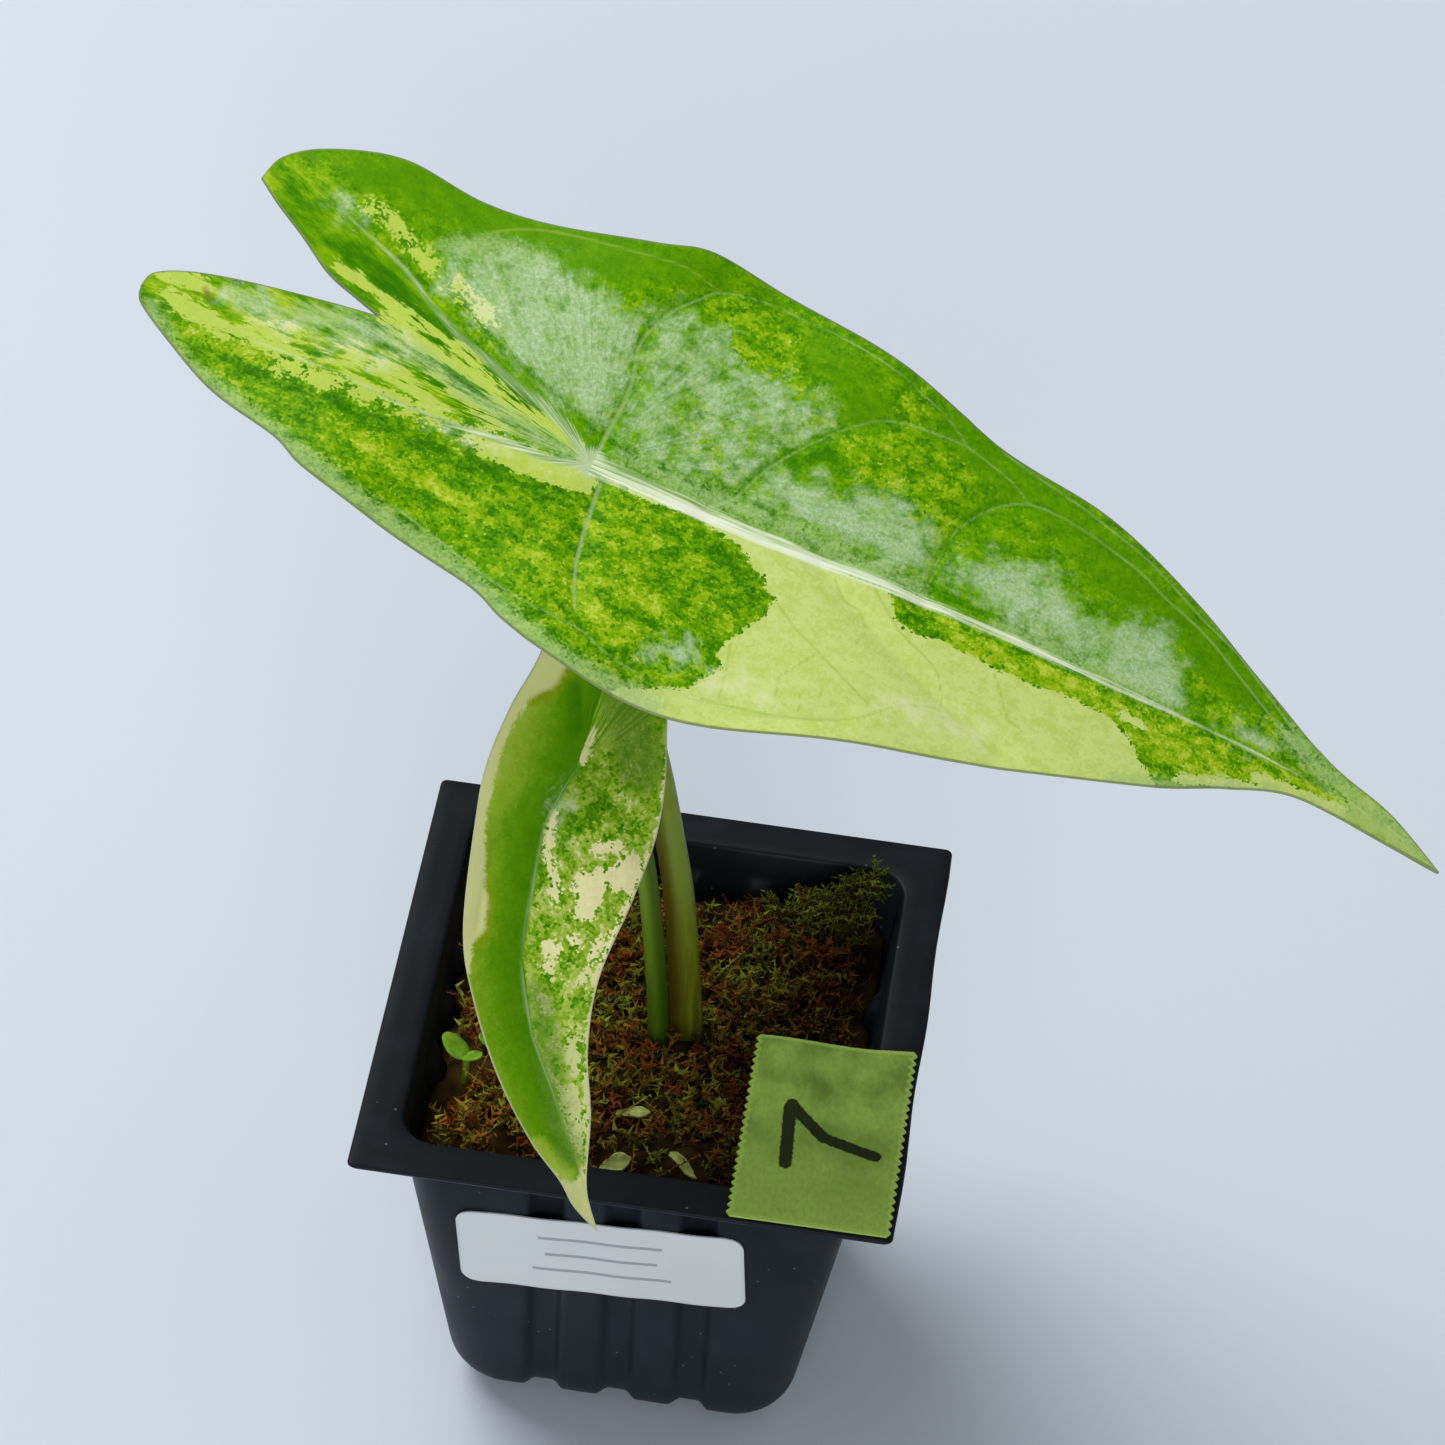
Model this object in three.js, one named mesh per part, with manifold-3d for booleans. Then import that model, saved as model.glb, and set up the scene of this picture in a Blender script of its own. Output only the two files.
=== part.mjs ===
// Potted variegated alocasia: a square nursery pot of moss, a corm, two arrow-shaped leaves on their
// petioles, a flag of crepe paper tape, a paper label, two seedlings and four fallen scraps.
// Millimetres, +Z up. The label faces -Y. The origin is the centre of the pot's underside.

import * as THREE from 'three';
import * as BufferGeometryUtils from 'three/addons/utils/BufferGeometryUtils.js';
import Module from 'manifold-3d';

const wasm = await Module();
wasm.setup();

const degrees = Math.PI / 180;

// Space left between two pieces that touch on the real plant
const clearance = 0.3;

// Pot: one thin moulding with a flat flange, tapered walls and three flutes in each wall
const pot = {
  height: 46, rimHalf: 27.5, flangeWidth: 4, sheet: 0.8, floor: 0.9,
  wallHalfTop: 23.5, wallHalfBase: 18, cornerTop: 4, cornerBase: 6.3, rimCorner: 0.5,
  baseRounding: 5.4, fluteCount: 3, flutePitch: 7.8, fluteWidth: 4.4, fluteDepth: 1.1,
  fluteFade: 38.5, fluteShoulder: 41.5, fluteTop: 43,
  drainRadius: 2.4, drainOffset: 8,
};

// Moss bed: fills the pot to about 5 mm under the flange, with strands that stand out of it
const moss = {
  surface: 40.6, edge: 39.4, bottomHalf: 13.2, bottomZ: 1.4, lowRing: 6, rings: 8,
  strands: 58, strandReach: 17, strandLength: [3.5, 6.5], strandRise: [1.2, 2.4],
  strandRadius: 0.55, strandRoot: 1.3, seed: 11,
};

// Corm: stands upright in a plain hole in the moss, with a tuft of short roots under it
const corm = { x: 2, y: 0.4, top: 37.6, bottom: 25, radius: 4.4, neck: 3.1, roots: 6, rootTip: 15 };

// Leaf blades are drawn flat in millimetres: u runs from the hub to the tip, v across the blade.
// The near half has negative v. Each margin runs from its rear lobe's tip to the leaf's tip.
const largeLeaf = {
  hub: [-11, 7.5, 112], heading: -7.3, droop: 17.9, roll: 20, length: 91, rear: 46,
  thickness: 0.7, ribDepth: 0.9, ribWidth: 1.3, steps: [8, 6, 20], across: 9, crowding: 1.3,
  arch: 4, rearDroop: 0.5, fold: { near: 0.25, far: 0.25 }, shoulder: { near: 0, far: 0 },
  recurve: 1.8, halfWidth: 22, waveHeight: 0.7, waveLength: 27, grooveDepth: 0.3, grooveWidth: 1.7,
  rearLine: [[-24.3, 6], [-12, 2.6], [0, 0]],
  midrib: [[0, 0], [16, -0.4], [33, 0.3], [53.5, 0.9], [67, 1.5], [80.5, 1.9], [91, 0]],
  near: {
    inner: [[-46, -0.8], [-45.4, 1.1], [-42.2, 2.8], [-36.6, 4.2], [-29.2, 5.4], [-24.3, 6]],
    margin: [
      [-46, -0.8], [-45.2, -2.6], [-41, -5.5], [-35.4, -8.6], [-28.3, -10.9], [-24.3, -13.1],
      [-16, -15.5], [-6, -17.8], [-1.6, -20.1], [2.9, -21.7], [10.8, -23], [19.6, -21.9],
      [33.5, -17.4], [49, -12.3], [60.8, -7.5], [67.8, -3.6], [74.6, -0.6], [83.8, -0.2], [91, 0],
    ],
    breaks: [5, 9],
  },
  far: {
    inner: [[-40.3, 14.7], [-37.7, 12.8], [-34.3, 10.7], [-30.5, 8.2], [-27.3, 7], [-24.3, 6]],
    margin: [
      [-40.3, 14.7], [-39.3, 17.6], [-35.6, 20], [-28.5, 21.7], [-20.1, 20.7], [-12.5, 21.1],
      [-3.3, 22.7], [2.6, 24.3], [10.8, 23.5], [22.8, 21.1], [35.2, 17.7], [47, 15.8],
      [58.5, 12.2], [68, 8.1], [76.7, 4.5], [84.4, 2.8], [91, 0],
    ],
    breaks: [4, 7],
  },
  basalVeins: [
    [[0, 0], [-8.5, -1.7], [-21.7, -2.8], [-34.8, -1.8], [-43, -0.6]],
    [[0, 0], [-4.6, 2.9], [-14.8, 6.4], [-24.1, 11.3], [-36, 16]],
  ],
  lateralVeins: [
    [[0, 1], [-0.6, 14], [-0.2, 22]],
    [[11, 0.5], [14.3, 5.8], [21, 13.3], [31.6, 16.2], [39.7, 13.2], [53.5, 11], [69.8, 5.2]],
    [[34, 1], [34.2, 7.9], [39.7, 13.2]],
    [[1.6, -1.6], [2.7, -12], [5.3, -18.1]],
    [[-15.5, -12.9], [-0.8, -17.4], [13.5, -19.5], [27.7, -17.6], [46, -11.5], [60, -6]],
    [[24, -1], [36, -8], [46, -11.5]],
  ],
};

const smallLeaf = {
  hub: [-8.75, -10, 88], heading: -74.5, droop: 47.6, roll: 0, length: 44.7, rear: 20,
  thickness: 0.7, ribDepth: 0.6, ribWidth: 0.9, steps: [5, 4, 15], across: 7, crowding: 1.2,
  arch: 3, rearDroop: -3, fold: { near: 0.5, far: 0.7 }, shoulder: { near: 0.012, far: 0.033 },
  recurve: 0.6, halfWidth: 11, waveHeight: 0.4, waveLength: 17, grooveDepth: 0.2, grooveWidth: 1.2,
  rearLine: [[-11, 4.4], [-6, 2.4], [0, 0]],
  midrib: [
    [0, 0], [1.8, -1.3], [5, -3.3], [9.4, -4.5], [17.3, -6.3], [24.8, -5.7], [32.7, -3.3],
    [38.8, -1.6], [44.7, 0],
  ],
  near: {
    inner: [[-19.5, 1.5], [-18.6, 3.2], [-14.6, 4.4], [-11, 4.4]],
    margin: [
      [-19.5, 1.5], [-18.6, -0.2], [-11.6, -2.9], [-6.6, -6.1], [-1.1, -8.9], [3.8, -10.2],
      [14.3, -12], [21, -11.4], [28.7, -9.3], [35.1, -6.4], [39.2, -3.7], [42, -2.3], [44.7, 0],
    ],
    breaks: [2, 5],
  },
  far: {
    inner: [[-18.5, 8.5], [-17.3, 7], [-14, 5.6], [-11, 4.4]],
    margin: [
      [-18.5, 8.5], [-17.3, 10], [-12, 10.4], [-5.3, 9], [1.5, 8.2], [6.7, 7], [12.2, 4.4],
      [19.4, 0.8], [26.2, -0.6], [33, -0.5], [39.5, -1], [42.5, -0.6], [44.7, 0],
    ],
    breaks: [2, 4],
  },
  basalVeins: [
    [[0, 0], [-5, -1.5], [-12, -1], [-18, 1.5]],
    [[0, 0], [-4, 3.4], [-10, 7.4], [-16.5, 8.6]],
  ],
  lateralVeins: [[[1, 1], [4, 4], [8, 5]], [[2, -3], [6, -8], [14, -10.5]]],
};

// Petioles: centre lines from the corm's top to just under the blade, radii at foot and top
const largePetiole = {
  line: [
    [3.1, 0.7, 37.9], [2.9, 0.8, 43], [2.3, 1.2, 49.5], [1, 2.1, 60], [-0.5, 3.4, 67],
    [-2.3, 5.2, 74], [-4.8, 7.2, 82], [-7.9, 9, 93], [-10.1, 9.4, 103],
  ],
  radii: [1.75, 1.05], sides: 10, steps: 22,
};
const sheathWing = {
  line: [[1.7, 0.9, 38.2], [1.6, 1.1, 44], [0.9, 1.6, 51], [0.1, 2.4, 58], [-0.4, 2.9, 63]],
  radii: [0.75, 0.4], sides: 6, steps: 8,
};
const smallPetiole = {
  line: [
    [0.35, -0.85, 37.9], [0.15, -0.9, 44], [-0.5, -0.95, 52], [-1.5, -1, 61], [-2.6, -1.3, 69],
    [-4.3, -2.6, 77], [-6.6, -5, 83.5],
  ],
  radii: [0.95, 0.7], sides: 8, steps: 16,
};

// Tape flag: lies on the front right corner of the flange and bridges the mouth's corner
const tape = {
  left: 10.6, right: 27.1, front: -27.2, back: -3.2, backSkew: 1.9, frontSkew: -1.2,
  thickness: 0.4, seat: 0.15, teeth: 12, toothDepth: 0.55, columns: 6, lift: 1.5,
};

// Label: a rounded paper rectangle on the front wall, bridging the flutes
const label = {
  width: 29.6, height: 12.8, corner: 1.9, thickness: 0.3, seat: 0.15, centreX: -2, centreZ: 30.1,
  turn: 3.6,
};

const seedlings = [
  { name: 'seedling_left', x: -18.6, y: -8.8, top: 43.6, leaf: 1.75, heading: 160 },
  { name: 'seedling_right', x: -15.9, y: -6.6, top: 43.3, leaf: 1.45, heading: 20 },
];

const scraps = [
  { name: 'scrap_crescent', x: -1, y: -11.2, length: 3.6, width: 1.5, heading: 12, bend: 0.5 },
  { name: 'scrap_front_left', x: -1.6, y: -18.4, length: 3.2, width: 1.7, heading: 20, bend: 0.3 },
  { name: 'scrap_sliver', x: 5.2, y: -17.4, length: 3.8, width: 0.9, heading: -38, bend: 0.1 },
  { name: 'scrap_front_right', x: 7.3, y: -20.1, length: 2.4, width: 1.3, heading: -10, bend: 0.2 },
];

const colours = {
  plastic: 0x25282d, moss: 0x4a3d1e, corm: 0x6b4a2b, leaf: 0x5c9f1c, smallLeaf: 0x5fa21f,
  petiole: 0x6f9a3a, smallPetiole: 0x5c9c2c, tape: 0x86a646, label: 0xe9ecef,
  seedling: 0x8cc436, scrap: 0xb9c07a,
};

function material(colour, roughness) {
  return new THREE.MeshStandardMaterial({ color: colour, roughness, metalness: 0 });
}

function mix(a, b, t) {
  return a + (b - a) * t;
}

function smooth(t) {
  const x = Math.min(1, Math.max(0, t));
  return x * x * (3 - 2 * x);
}

// Repeatable numbers between 0 and 1
function randomSource(seed) {
  let state = seed;
  return () => {
    state = (state * 16807) % 2147483647;
    return state / 2147483647;
  };
}

function closedGeometry(points, triangles) {
  const geometry = new THREE.BufferGeometry();
  geometry.setAttribute('position', new THREE.Float32BufferAttribute(points.flat(), 3));
  geometry.setIndex(triangles.flat());
  return geometry;
}

function toManifold(geometry) {
  const bare = geometry.clone();
  bare.deleteAttribute('normal');
  bare.deleteAttribute('uv');
  const merged = BufferGeometryUtils.mergeVertices(bare, 1e-3);
  const vertProperties = new Float32Array(merged.attributes.position.array);
  const triVerts = new Uint32Array(merged.index.array);
  return new wasm.Manifold(new wasm.Mesh({ numProp: 3, vertProperties, triVerts }));
}

function fromManifold(solid) {
  const mesh = solid.getMesh();
  const geometry = new THREE.BufferGeometry();
  geometry.setAttribute('position', new THREE.BufferAttribute(mesh.vertProperties, 3));
  geometry.setIndex(new THREE.BufferAttribute(mesh.triVerts, 1));
  return geometry;
}

function joined(geometries) {
  let solid = toManifold(geometries[0]);
  for (const geometry of geometries.slice(1)) solid = solid.add(toManifold(geometry));
  return solid;
}

// A closed skin over rings of points with equal counts, closed by a fan at each end
function loft(rings, startCentre, endCentre) {
  const count = rings[0].length;
  const points = [...rings.flat(), startCentre, endCentre];
  const start = points.length - 2;
  const end = points.length - 1;
  const last = (rings.length - 1) * count;
  const triangles = [];
  for (let i = 0; i < count; i += 1) {
    const next = (i + 1) % count;
    triangles.push([start, next, i], [end, last + i, last + next]);
    for (let k = 0; k < rings.length - 1; k += 1) {
      const low = k * count;
      const high = low + count;
      triangles.push([low + i, low + next, high + next], [low + i, high + next, high + i]);
    }
  }
  return closedGeometry(points, triangles);
}

// A round rod along a smooth line, with its radius running from foot to top
function taperedRod({ line, radii, sides, steps }) {
  const curve = new THREE.CatmullRomCurve3(line.map((p) => new THREE.Vector3(...p)));
  const frames = curve.computeFrenetFrames(steps, false);
  const rings = [];
  for (let k = 0; k <= steps; k += 1) {
    const centre = curve.getPointAt(k / steps);
    const radius = mix(radii[0], radii[1], k / steps);
    const ring = [];
    for (let i = 0; i < sides; i += 1) {
      const angle = (2 * Math.PI * i) / sides;
      const point = centre.clone()
        .addScaledVector(frames.normals[k], radius * Math.cos(angle))
        .addScaledVector(frames.binormals[k], radius * Math.sin(angle));
      ring.push(point.toArray());
    }
    rings.push(ring);
  }
  return loft(rings, curve.getPoint(0).toArray(), curve.getPoint(1).toArray());
}

// A thin closed sheet: the upper face as given, the lower face moved by each point's depth,
// the same triangles on both, and a wall along every free edge
function thickened(upper, lower, triangles) {
  const shift = upper.length;
  const used = new Set(triangles.flatMap(([a, b, c]) => [`${a},${b}`, `${b},${c}`, `${c},${a}`]));
  const all = [];
  for (const [a, b, c] of triangles) {
    all.push([a, b, c], [a + shift, c + shift, b + shift]);
    for (const [from, to] of [[a, b], [b, c], [c, a]]) {
      if (used.has(`${to},${from}`)) continue;
      all.push([to, from, from + shift], [to, from + shift, to + shift]);
    }
  }
  return closedGeometry([...upper, ...lower], all);
}

// Pot

function wallHalf(z) {
  return mix(pot.wallHalfBase, pot.wallHalfTop, z / (pot.height - pot.sheet));
}

function wallCorner(z) {
  return mix(pot.cornerBase, pot.cornerTop, z / (pot.height - pot.sheet));
}

function fluteDepth(z) {
  const shoulder = 0.7 * pot.fluteDepth;
  if (z <= pot.fluteFade) return pot.fluteDepth;
  if (z <= pot.fluteShoulder) {
    const t = (z - pot.fluteFade) / (pot.fluteShoulder - pot.fluteFade);
    return mix(pot.fluteDepth, shoulder, t);
  }
  return Math.max(0, mix(shoulder, 0, (z - pot.fluteShoulder) / (pot.fluteTop - pot.fluteShoulder)));
}

// A rounded square with its flutes pressed inwards, counter-clockwise seen from above
function fluted(z, half, corner, depth) {
  const side = [];
  for (let k = 0; k < pot.fluteCount; k += 1) {
    const centre = (k - (pot.fluteCount - 1) / 2) * pot.flutePitch;
    for (const [along, deep] of [[-0.5, 0], [-0.24, 1], [0.24, 1], [0.5, 0]]) {
      side.push([centre + along * pot.fluteWidth, -half + deep * depth]);
    }
  }
  for (const angle of [-90, -60, -30, 0]) {
    side.push([
      half - corner + corner * Math.cos(angle * degrees),
      corner - half + corner * Math.sin(angle * degrees),
    ]);
  }
  const ring = [];
  for (let turn = 0; turn < 4; turn += 1) {
    const c = Math.cos(turn * 90 * degrees);
    const s = Math.sin(turn * 90 * degrees);
    for (const [x, y] of side) ring.push([c * x - s * y, s * x + c * y, z]);
  }
  return ring;
}

// Ring of the wall's outer face, or of a face that lies inside it by the given inset
function wallRing(z, inset) {
  return fluted(z, wallHalf(z) - inset, wallCorner(z) - inset, fluteDepth(z));
}

// Rings of the rounding between floor and wall, from the flat floor upwards
function baseRings(floorZ, radius, inset) {
  return [0, 30, 60, 90].map((angle) => {
    const z = floorZ + radius * (1 - Math.cos(angle * degrees));
    const cut = radius * (1 - Math.sin(angle * degrees));
    const corner = Math.max(0.8, wallCorner(z) - inset - cut);
    return fluted(z, wallHalf(z) - inset - cut, corner, fluteDepth(z) * smooth(angle / 30));
  });
}

function buildPot() {
  const under = pot.height - pot.sheet;
  const mouthHalf = pot.rimHalf - pot.flangeWidth;
  const rings = [
    ...baseRings(0, pot.baseRounding, 0),
    wallRing(pot.fluteFade, 0),
    wallRing(pot.fluteShoulder, 0),
    wallRing(pot.fluteTop, 0),
    wallRing(under, 0),
    fluted(under, pot.rimHalf, pot.rimCorner, 0),
    fluted(pot.height, pot.rimHalf, pot.rimCorner, 0),
    fluted(pot.height, mouthHalf, pot.cornerTop, 0),
    fluted(pot.height - 0.3 * pot.sheet, mouthHalf - 0.6 * pot.sheet, pot.cornerTop - 0.5, 0),
    wallRing(under, pot.sheet),
    wallRing(pot.fluteTop, pot.sheet),
    wallRing(pot.fluteShoulder, pot.sheet),
    wallRing(pot.fluteFade, pot.sheet),
    ...baseRings(pot.floor, pot.baseRounding - pot.sheet, pot.sheet).reverse(),
  ];
  let solid = toManifold(loft(rings, [0, 0, 0], [0, 0, pot.floor]));
  for (const sx of [-1, 1]) {
    for (const sy of [-1, 1]) {
      const drain = new THREE.CylinderGeometry(pot.drainRadius, pot.drainRadius, 4 * pot.floor, 12);
      drain.rotateX(90 * degrees);
      drain.translate(sx * pot.drainOffset, sy * pot.drainOffset, 0);
      solid = solid.subtract(toManifold(drain));
    }
  }
  return fromManifold(solid);
}

// Moss

// Height of the bed without its strands: soft humps, lower along the walls
function mossHeight(x, y) {
  const humps = 0.7 * Math.sin(0.33 * x + 1.1) * Math.cos(0.29 * y - 0.4)
    + 0.4 * Math.sin(0.8 * x + 0.6 * y) + 0.3 * Math.sin(1.3 * x - 1.1 * y + 2);
  const wall = smooth((Math.max(Math.abs(x), Math.abs(y)) - 15) / 6);
  return mix(moss.surface + humps, moss.edge, wall);
}

function mossStrand(x, y, heading, length, rise) {
  const base = mossHeight(x, y);
  const at = (share, up) => [
    x + Math.cos(heading) * length * share, y + Math.sin(heading) * length * share, base + up,
  ];
  return taperedRod({
    line: [at(0, -moss.strandRoot), at(0.15, 0.6 * rise), at(0.6, rise), at(1, 0.5 * rise)],
    radii: [moss.strandRadius, 0.5 * moss.strandRadius], sides: 3, steps: 3,
  });
}

// Places that the strands leave free: petioles, seedlings and scraps
const keptFree = [
  { x: corm.x, y: corm.y, radius: 4.2 },
  ...seedlings.map(({ x, y }) => ({ x, y, radius: 2.9 })),
  ...scraps.map(({ x, y, length }) => ({ x, y, radius: 0.5 * length + 1 })),
];

function isFree(x, y) {
  return keptFree.every((spot) => Math.hypot(x - spot.x, y - spot.y) > spot.radius);
}

function mossStrands() {
  const random = randomSource(moss.seed);
  const strands = [];
  while (strands.length < moss.strands) {
    const x = mix(-moss.strandReach, moss.strandReach, random());
    const y = mix(-moss.strandReach, moss.strandReach, random());
    const heading = 2 * Math.PI * random();
    const length = mix(...moss.strandLength, random());
    const rise = mix(...moss.strandRise, random());
    const reach = [0, 0.35, 0.7, 1].map((share) => [
      x + Math.cos(heading) * length * share, y + Math.sin(heading) * length * share,
    ]);
    const inside = reach.every(([px, py]) => Math.max(Math.abs(px), Math.abs(py)) < 20);
    if (inside && reach.every(([px, py]) => isFree(px, py))) {
      strands.push(mossStrand(x, y, heading, length, rise));
    }
  }
  return strands;
}

// The tall sprig in the back right corner, with side shoots
function cornerSprig() {
  const stem = [[11.5, 13.5, 39], [13.5, 16, 42.2], [16.2, 18.4, 43.6], [18.6, 20, 44.6]];
  const shoots = [
    [[12, 14.5, 40.5], [11, 17, 42.6], [9.4, 19, 42.8]],
    [[15, 17.3, 42.8], [17.8, 16.6, 43.6], [19.8, 16.2, 43]],
    [[14, 16.4, 42.2], [13.4, 18.8, 43.4], [13, 20, 43.2]],
    [[16.5, 18.6, 43.6], [18.4, 18.4, 44.6], [20, 17.8, 44.4]],
  ];
  return [
    taperedRod({ line: stem, radii: [1.1, 0.5], sides: 6, steps: 6 }),
    ...shoots.map((line) => taperedRod({ line, radii: [0.6, 0.3], sides: 4, steps: 3 })),
  ];
}

// Plain hole that holds the corm and the feet of the petioles
function cormHole() {
  const profile = [
    [0, corm.rootTip - 1], [corm.radius + 1.6, corm.rootTip - 1], [corm.radius + 1.6, 27],
    [corm.radius + clearance, 33], [corm.neck + clearance, 36.6], [corm.neck + clearance, 50], [0, 50],
  ];
  const hole = new THREE.LatheGeometry(profile.map(([r, z]) => new THREE.Vector2(r, z)), 16);
  hole.rotateX(90 * degrees);
  hole.translate(corm.x, corm.y, 0);
  return hole;
}

function buildMoss() {
  const inset = pot.sheet + clearance;
  const sides = [
    fluted(moss.bottomZ, moss.bottomHalf, 1.5, 0),
    wallRing(moss.lowRing, inset),
    wallRing(pot.fluteFade, inset),
    wallRing(moss.edge, inset),
  ];
  const rim = sides.at(-1);
  const top = [];
  for (let k = 1; k < moss.rings; k += 1) {
    const scale = 1 - k / moss.rings;
    top.push(rim.map(([x, y]) => [x * scale, y * scale, mossHeight(x * scale, y * scale)]));
  }
  const bed = loft([...sides, ...top], [0, 0, moss.bottomZ], [0, 0, mossHeight(0, 0)]);
  const solid = joined([bed, ...mossStrands(), ...cornerSprig()]);
  return fromManifold(solid.subtract(toManifold(cormHole())));
}

// Corm

function buildCorm() {
  const height = corm.top - corm.bottom;
  const profile = [
    [0, 0], [1.6, 0], [3.4, 0.16], [1, 0.45], [0.95, 0.62], [0.74, 0.9], [0.7, 1], [0, 1],
  ].map(([r, z], i) => {
    const radius = i < 3 ? r : r * corm.radius;
    return new THREE.Vector2(Math.min(radius, corm.radius), corm.bottom + z * height);
  });
  const body = new THREE.LatheGeometry(profile, 14);
  body.rotateX(90 * degrees);
  body.translate(corm.x, corm.y, 0);
  const roots = [];
  for (let k = 0; k < corm.roots; k += 1) {
    const angle = (2 * Math.PI * k) / corm.roots;
    const at = (radius, z) => [corm.x + radius * Math.cos(angle), corm.y + radius * Math.sin(angle), z];
    const line = [at(1.4, corm.bottom + 2), at(2.6, corm.bottom - 2), at(3.6, corm.rootTip + k % 3)];
    roots.push(taperedRod({ line, radii: [0.9, 0.4], sides: 5, steps: 4 }));
  }
  return fromManifold(joined([body, ...roots]));
}

// Leaves

// Points on the smooth line through the given points, from one of them to another
function alongLine(points, from, to, steps) {
  const curve = new THREE.SplineCurve(points.map((p) => new THREE.Vector2(...p)));
  const last = points.length - 1;
  const out = [];
  for (let k = 0; k <= steps; k += 1) {
    out.push(curve.getPoint(mix(from, to, k / steps) / last).toArray());
  }
  return out;
}

function distanceToLine(u, v, line) {
  let best = Infinity;
  for (let k = 0; k < line.length - 1; k += 1) {
    const [[au, av], [bu, bv]] = [line[k], line[k + 1]];
    const run = (bu - au) ** 2 + (bv - av) ** 2;
    const t = Math.min(1, Math.max(0, ((u - au) * (bu - au) + (v - av) * (bv - av)) / run));
    best = Math.min(best, Math.hypot(u - mix(au, bu, t), v - mix(av, bv, t)));
  }
  return best;
}

function bell(distance, width) {
  return Math.exp(-((distance / width) ** 2));
}

// v of the crease at u: the midrib in front of the hub, the line to the sinus behind it
function creaseAt(leaf, u) {
  const line = [...leaf.rearLine, ...leaf.midrib.slice(1)];
  const k = Math.max(1, line.findIndex(([lineU]) => lineU >= u));
  const [[au, av], [bu, bv]] = [line[k - 1], line[k]];
  return mix(av, bv, Math.max(0, (u - au) / (bu - au)));
}

// Height of the upper face over the flat drawing: arch, fold, recurved edges, waves and grooves
function liftAt(leaf, u, v) {
  const ahead = Math.min(1, Math.max(0, u / leaf.length));
  const behind = Math.min(1, Math.max(0, -u / leaf.rear));
  const side = v - creaseAt(leaf, u);
  const half = side < 0 ? 'near' : 'far';
  const out = Math.abs(side);
  const arch = u >= 0
    ? leaf.arch * Math.sin(Math.PI * ahead)
    : (leaf.arch * Math.PI * u) / leaf.length - leaf.rearDroop * behind ** 2;
  const crease = Math.sqrt(side ** 2 + leaf.ribWidth ** 2) - leaf.ribWidth;
  const fold = leaf.fold[half] * crease - leaf.shoulder[half] * out ** 2;
  const phase = (2 * Math.PI * u) / leaf.waveLength + (half === 'near' ? 0.6 : 2.4);
  const edge = (out / leaf.halfWidth) ** 2;
  const groove = Math.max(...leaf.lateralVeins.map((line) => bell(
    distanceToLine(u, v, line), leaf.grooveWidth,
  )));
  return arch + fold * (1 - 0.3 * ahead - 0.45 * behind) - leaf.recurve * edge ** 1.5
    + leaf.waveHeight * edge * Math.sin(phase) - leaf.grooveDepth * groove;
}

// The blade is thickest along the midrib and the two veins that run into the rear lobes
function depthAt(leaf, u, v) {
  const ahead = Math.max(0, u / leaf.length);
  const behind = Math.max(0, -u / leaf.rear);
  const midrib = bell(distanceToLine(u, v, leaf.midrib), leaf.ribWidth) * (1 - 0.7 * ahead);
  const basal = Math.max(...leaf.basalVeins.map((line) => bell(
    distanceToLine(u, v, line), leaf.ribWidth,
  ))) * (1 - 0.6 * behind);
  return leaf.thickness + leaf.ribDepth * Math.max(midrib, u < 0 ? basal : 0);
}

function buildBlade(leaf) {
  const points = [];
  const index = new Map();
  const triangles = [];
  const vertex = ([u, v]) => {
    const key = `${u.toFixed(3)},${v.toFixed(3)}`;
    if (!index.has(key)) {
      index.set(key, points.length);
      points.push([u, v]);
    }
    return index.get(key);
  };
  const addTriangle = (a, b, c) => {
    if (a !== b && b !== c && c !== a) triangles.push([a, b, c]);
  };
  const [lobeSteps, rearSteps, frontSteps] = leaf.steps;
  for (const half of ['near', 'far']) {
    const { inner, margin, breaks } = leaf[half];
    const inside = [
      ...alongLine(inner, 0, inner.length - 1, lobeSteps),
      ...alongLine(leaf.rearLine, 0, leaf.rearLine.length - 1, rearSteps).slice(1),
      ...alongLine(leaf.midrib, 0, leaf.midrib.length - 1, frontSteps).slice(1),
    ];
    const outside = [
      ...alongLine(margin, 0, breaks[0], lobeSteps),
      ...alongLine(margin, breaks[0], breaks[1], rearSteps).slice(1),
      ...alongLine(margin, breaks[1], margin.length - 1, frontSteps).slice(1),
    ];
    const grid = inside.map(([iu, iv], k) => {
      const row = [];
      for (let j = 0; j <= leaf.across; j += 1) {
        const t = (j / leaf.across) ** leaf.crowding;
        row.push(vertex([mix(iu, outside[k][0], t), mix(iv, outside[k][1], t)]));
      }
      return row;
    });
    for (let k = 0; k < grid.length - 1; k += 1) {
      for (let j = 0; j < leaf.across; j += 1) {
        const [a, b, c, d] = [grid[k][j], grid[k + 1][j], grid[k + 1][j + 1], grid[k][j + 1]];
        if (half === 'far') {
          addTriangle(a, b, c);
          addTriangle(a, c, d);
        } else {
          addTriangle(a, c, b);
          addTriangle(a, d, c);
        }
      }
    }
  }
  const upper = points.map(([u, v]) => [u, v, liftAt(leaf, u, v)]);
  const lower = upper.map(([u, v, z]) => [u, v, z - depthAt(leaf, u, v)]);
  return thickened(upper, lower, triangles);
}

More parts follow.
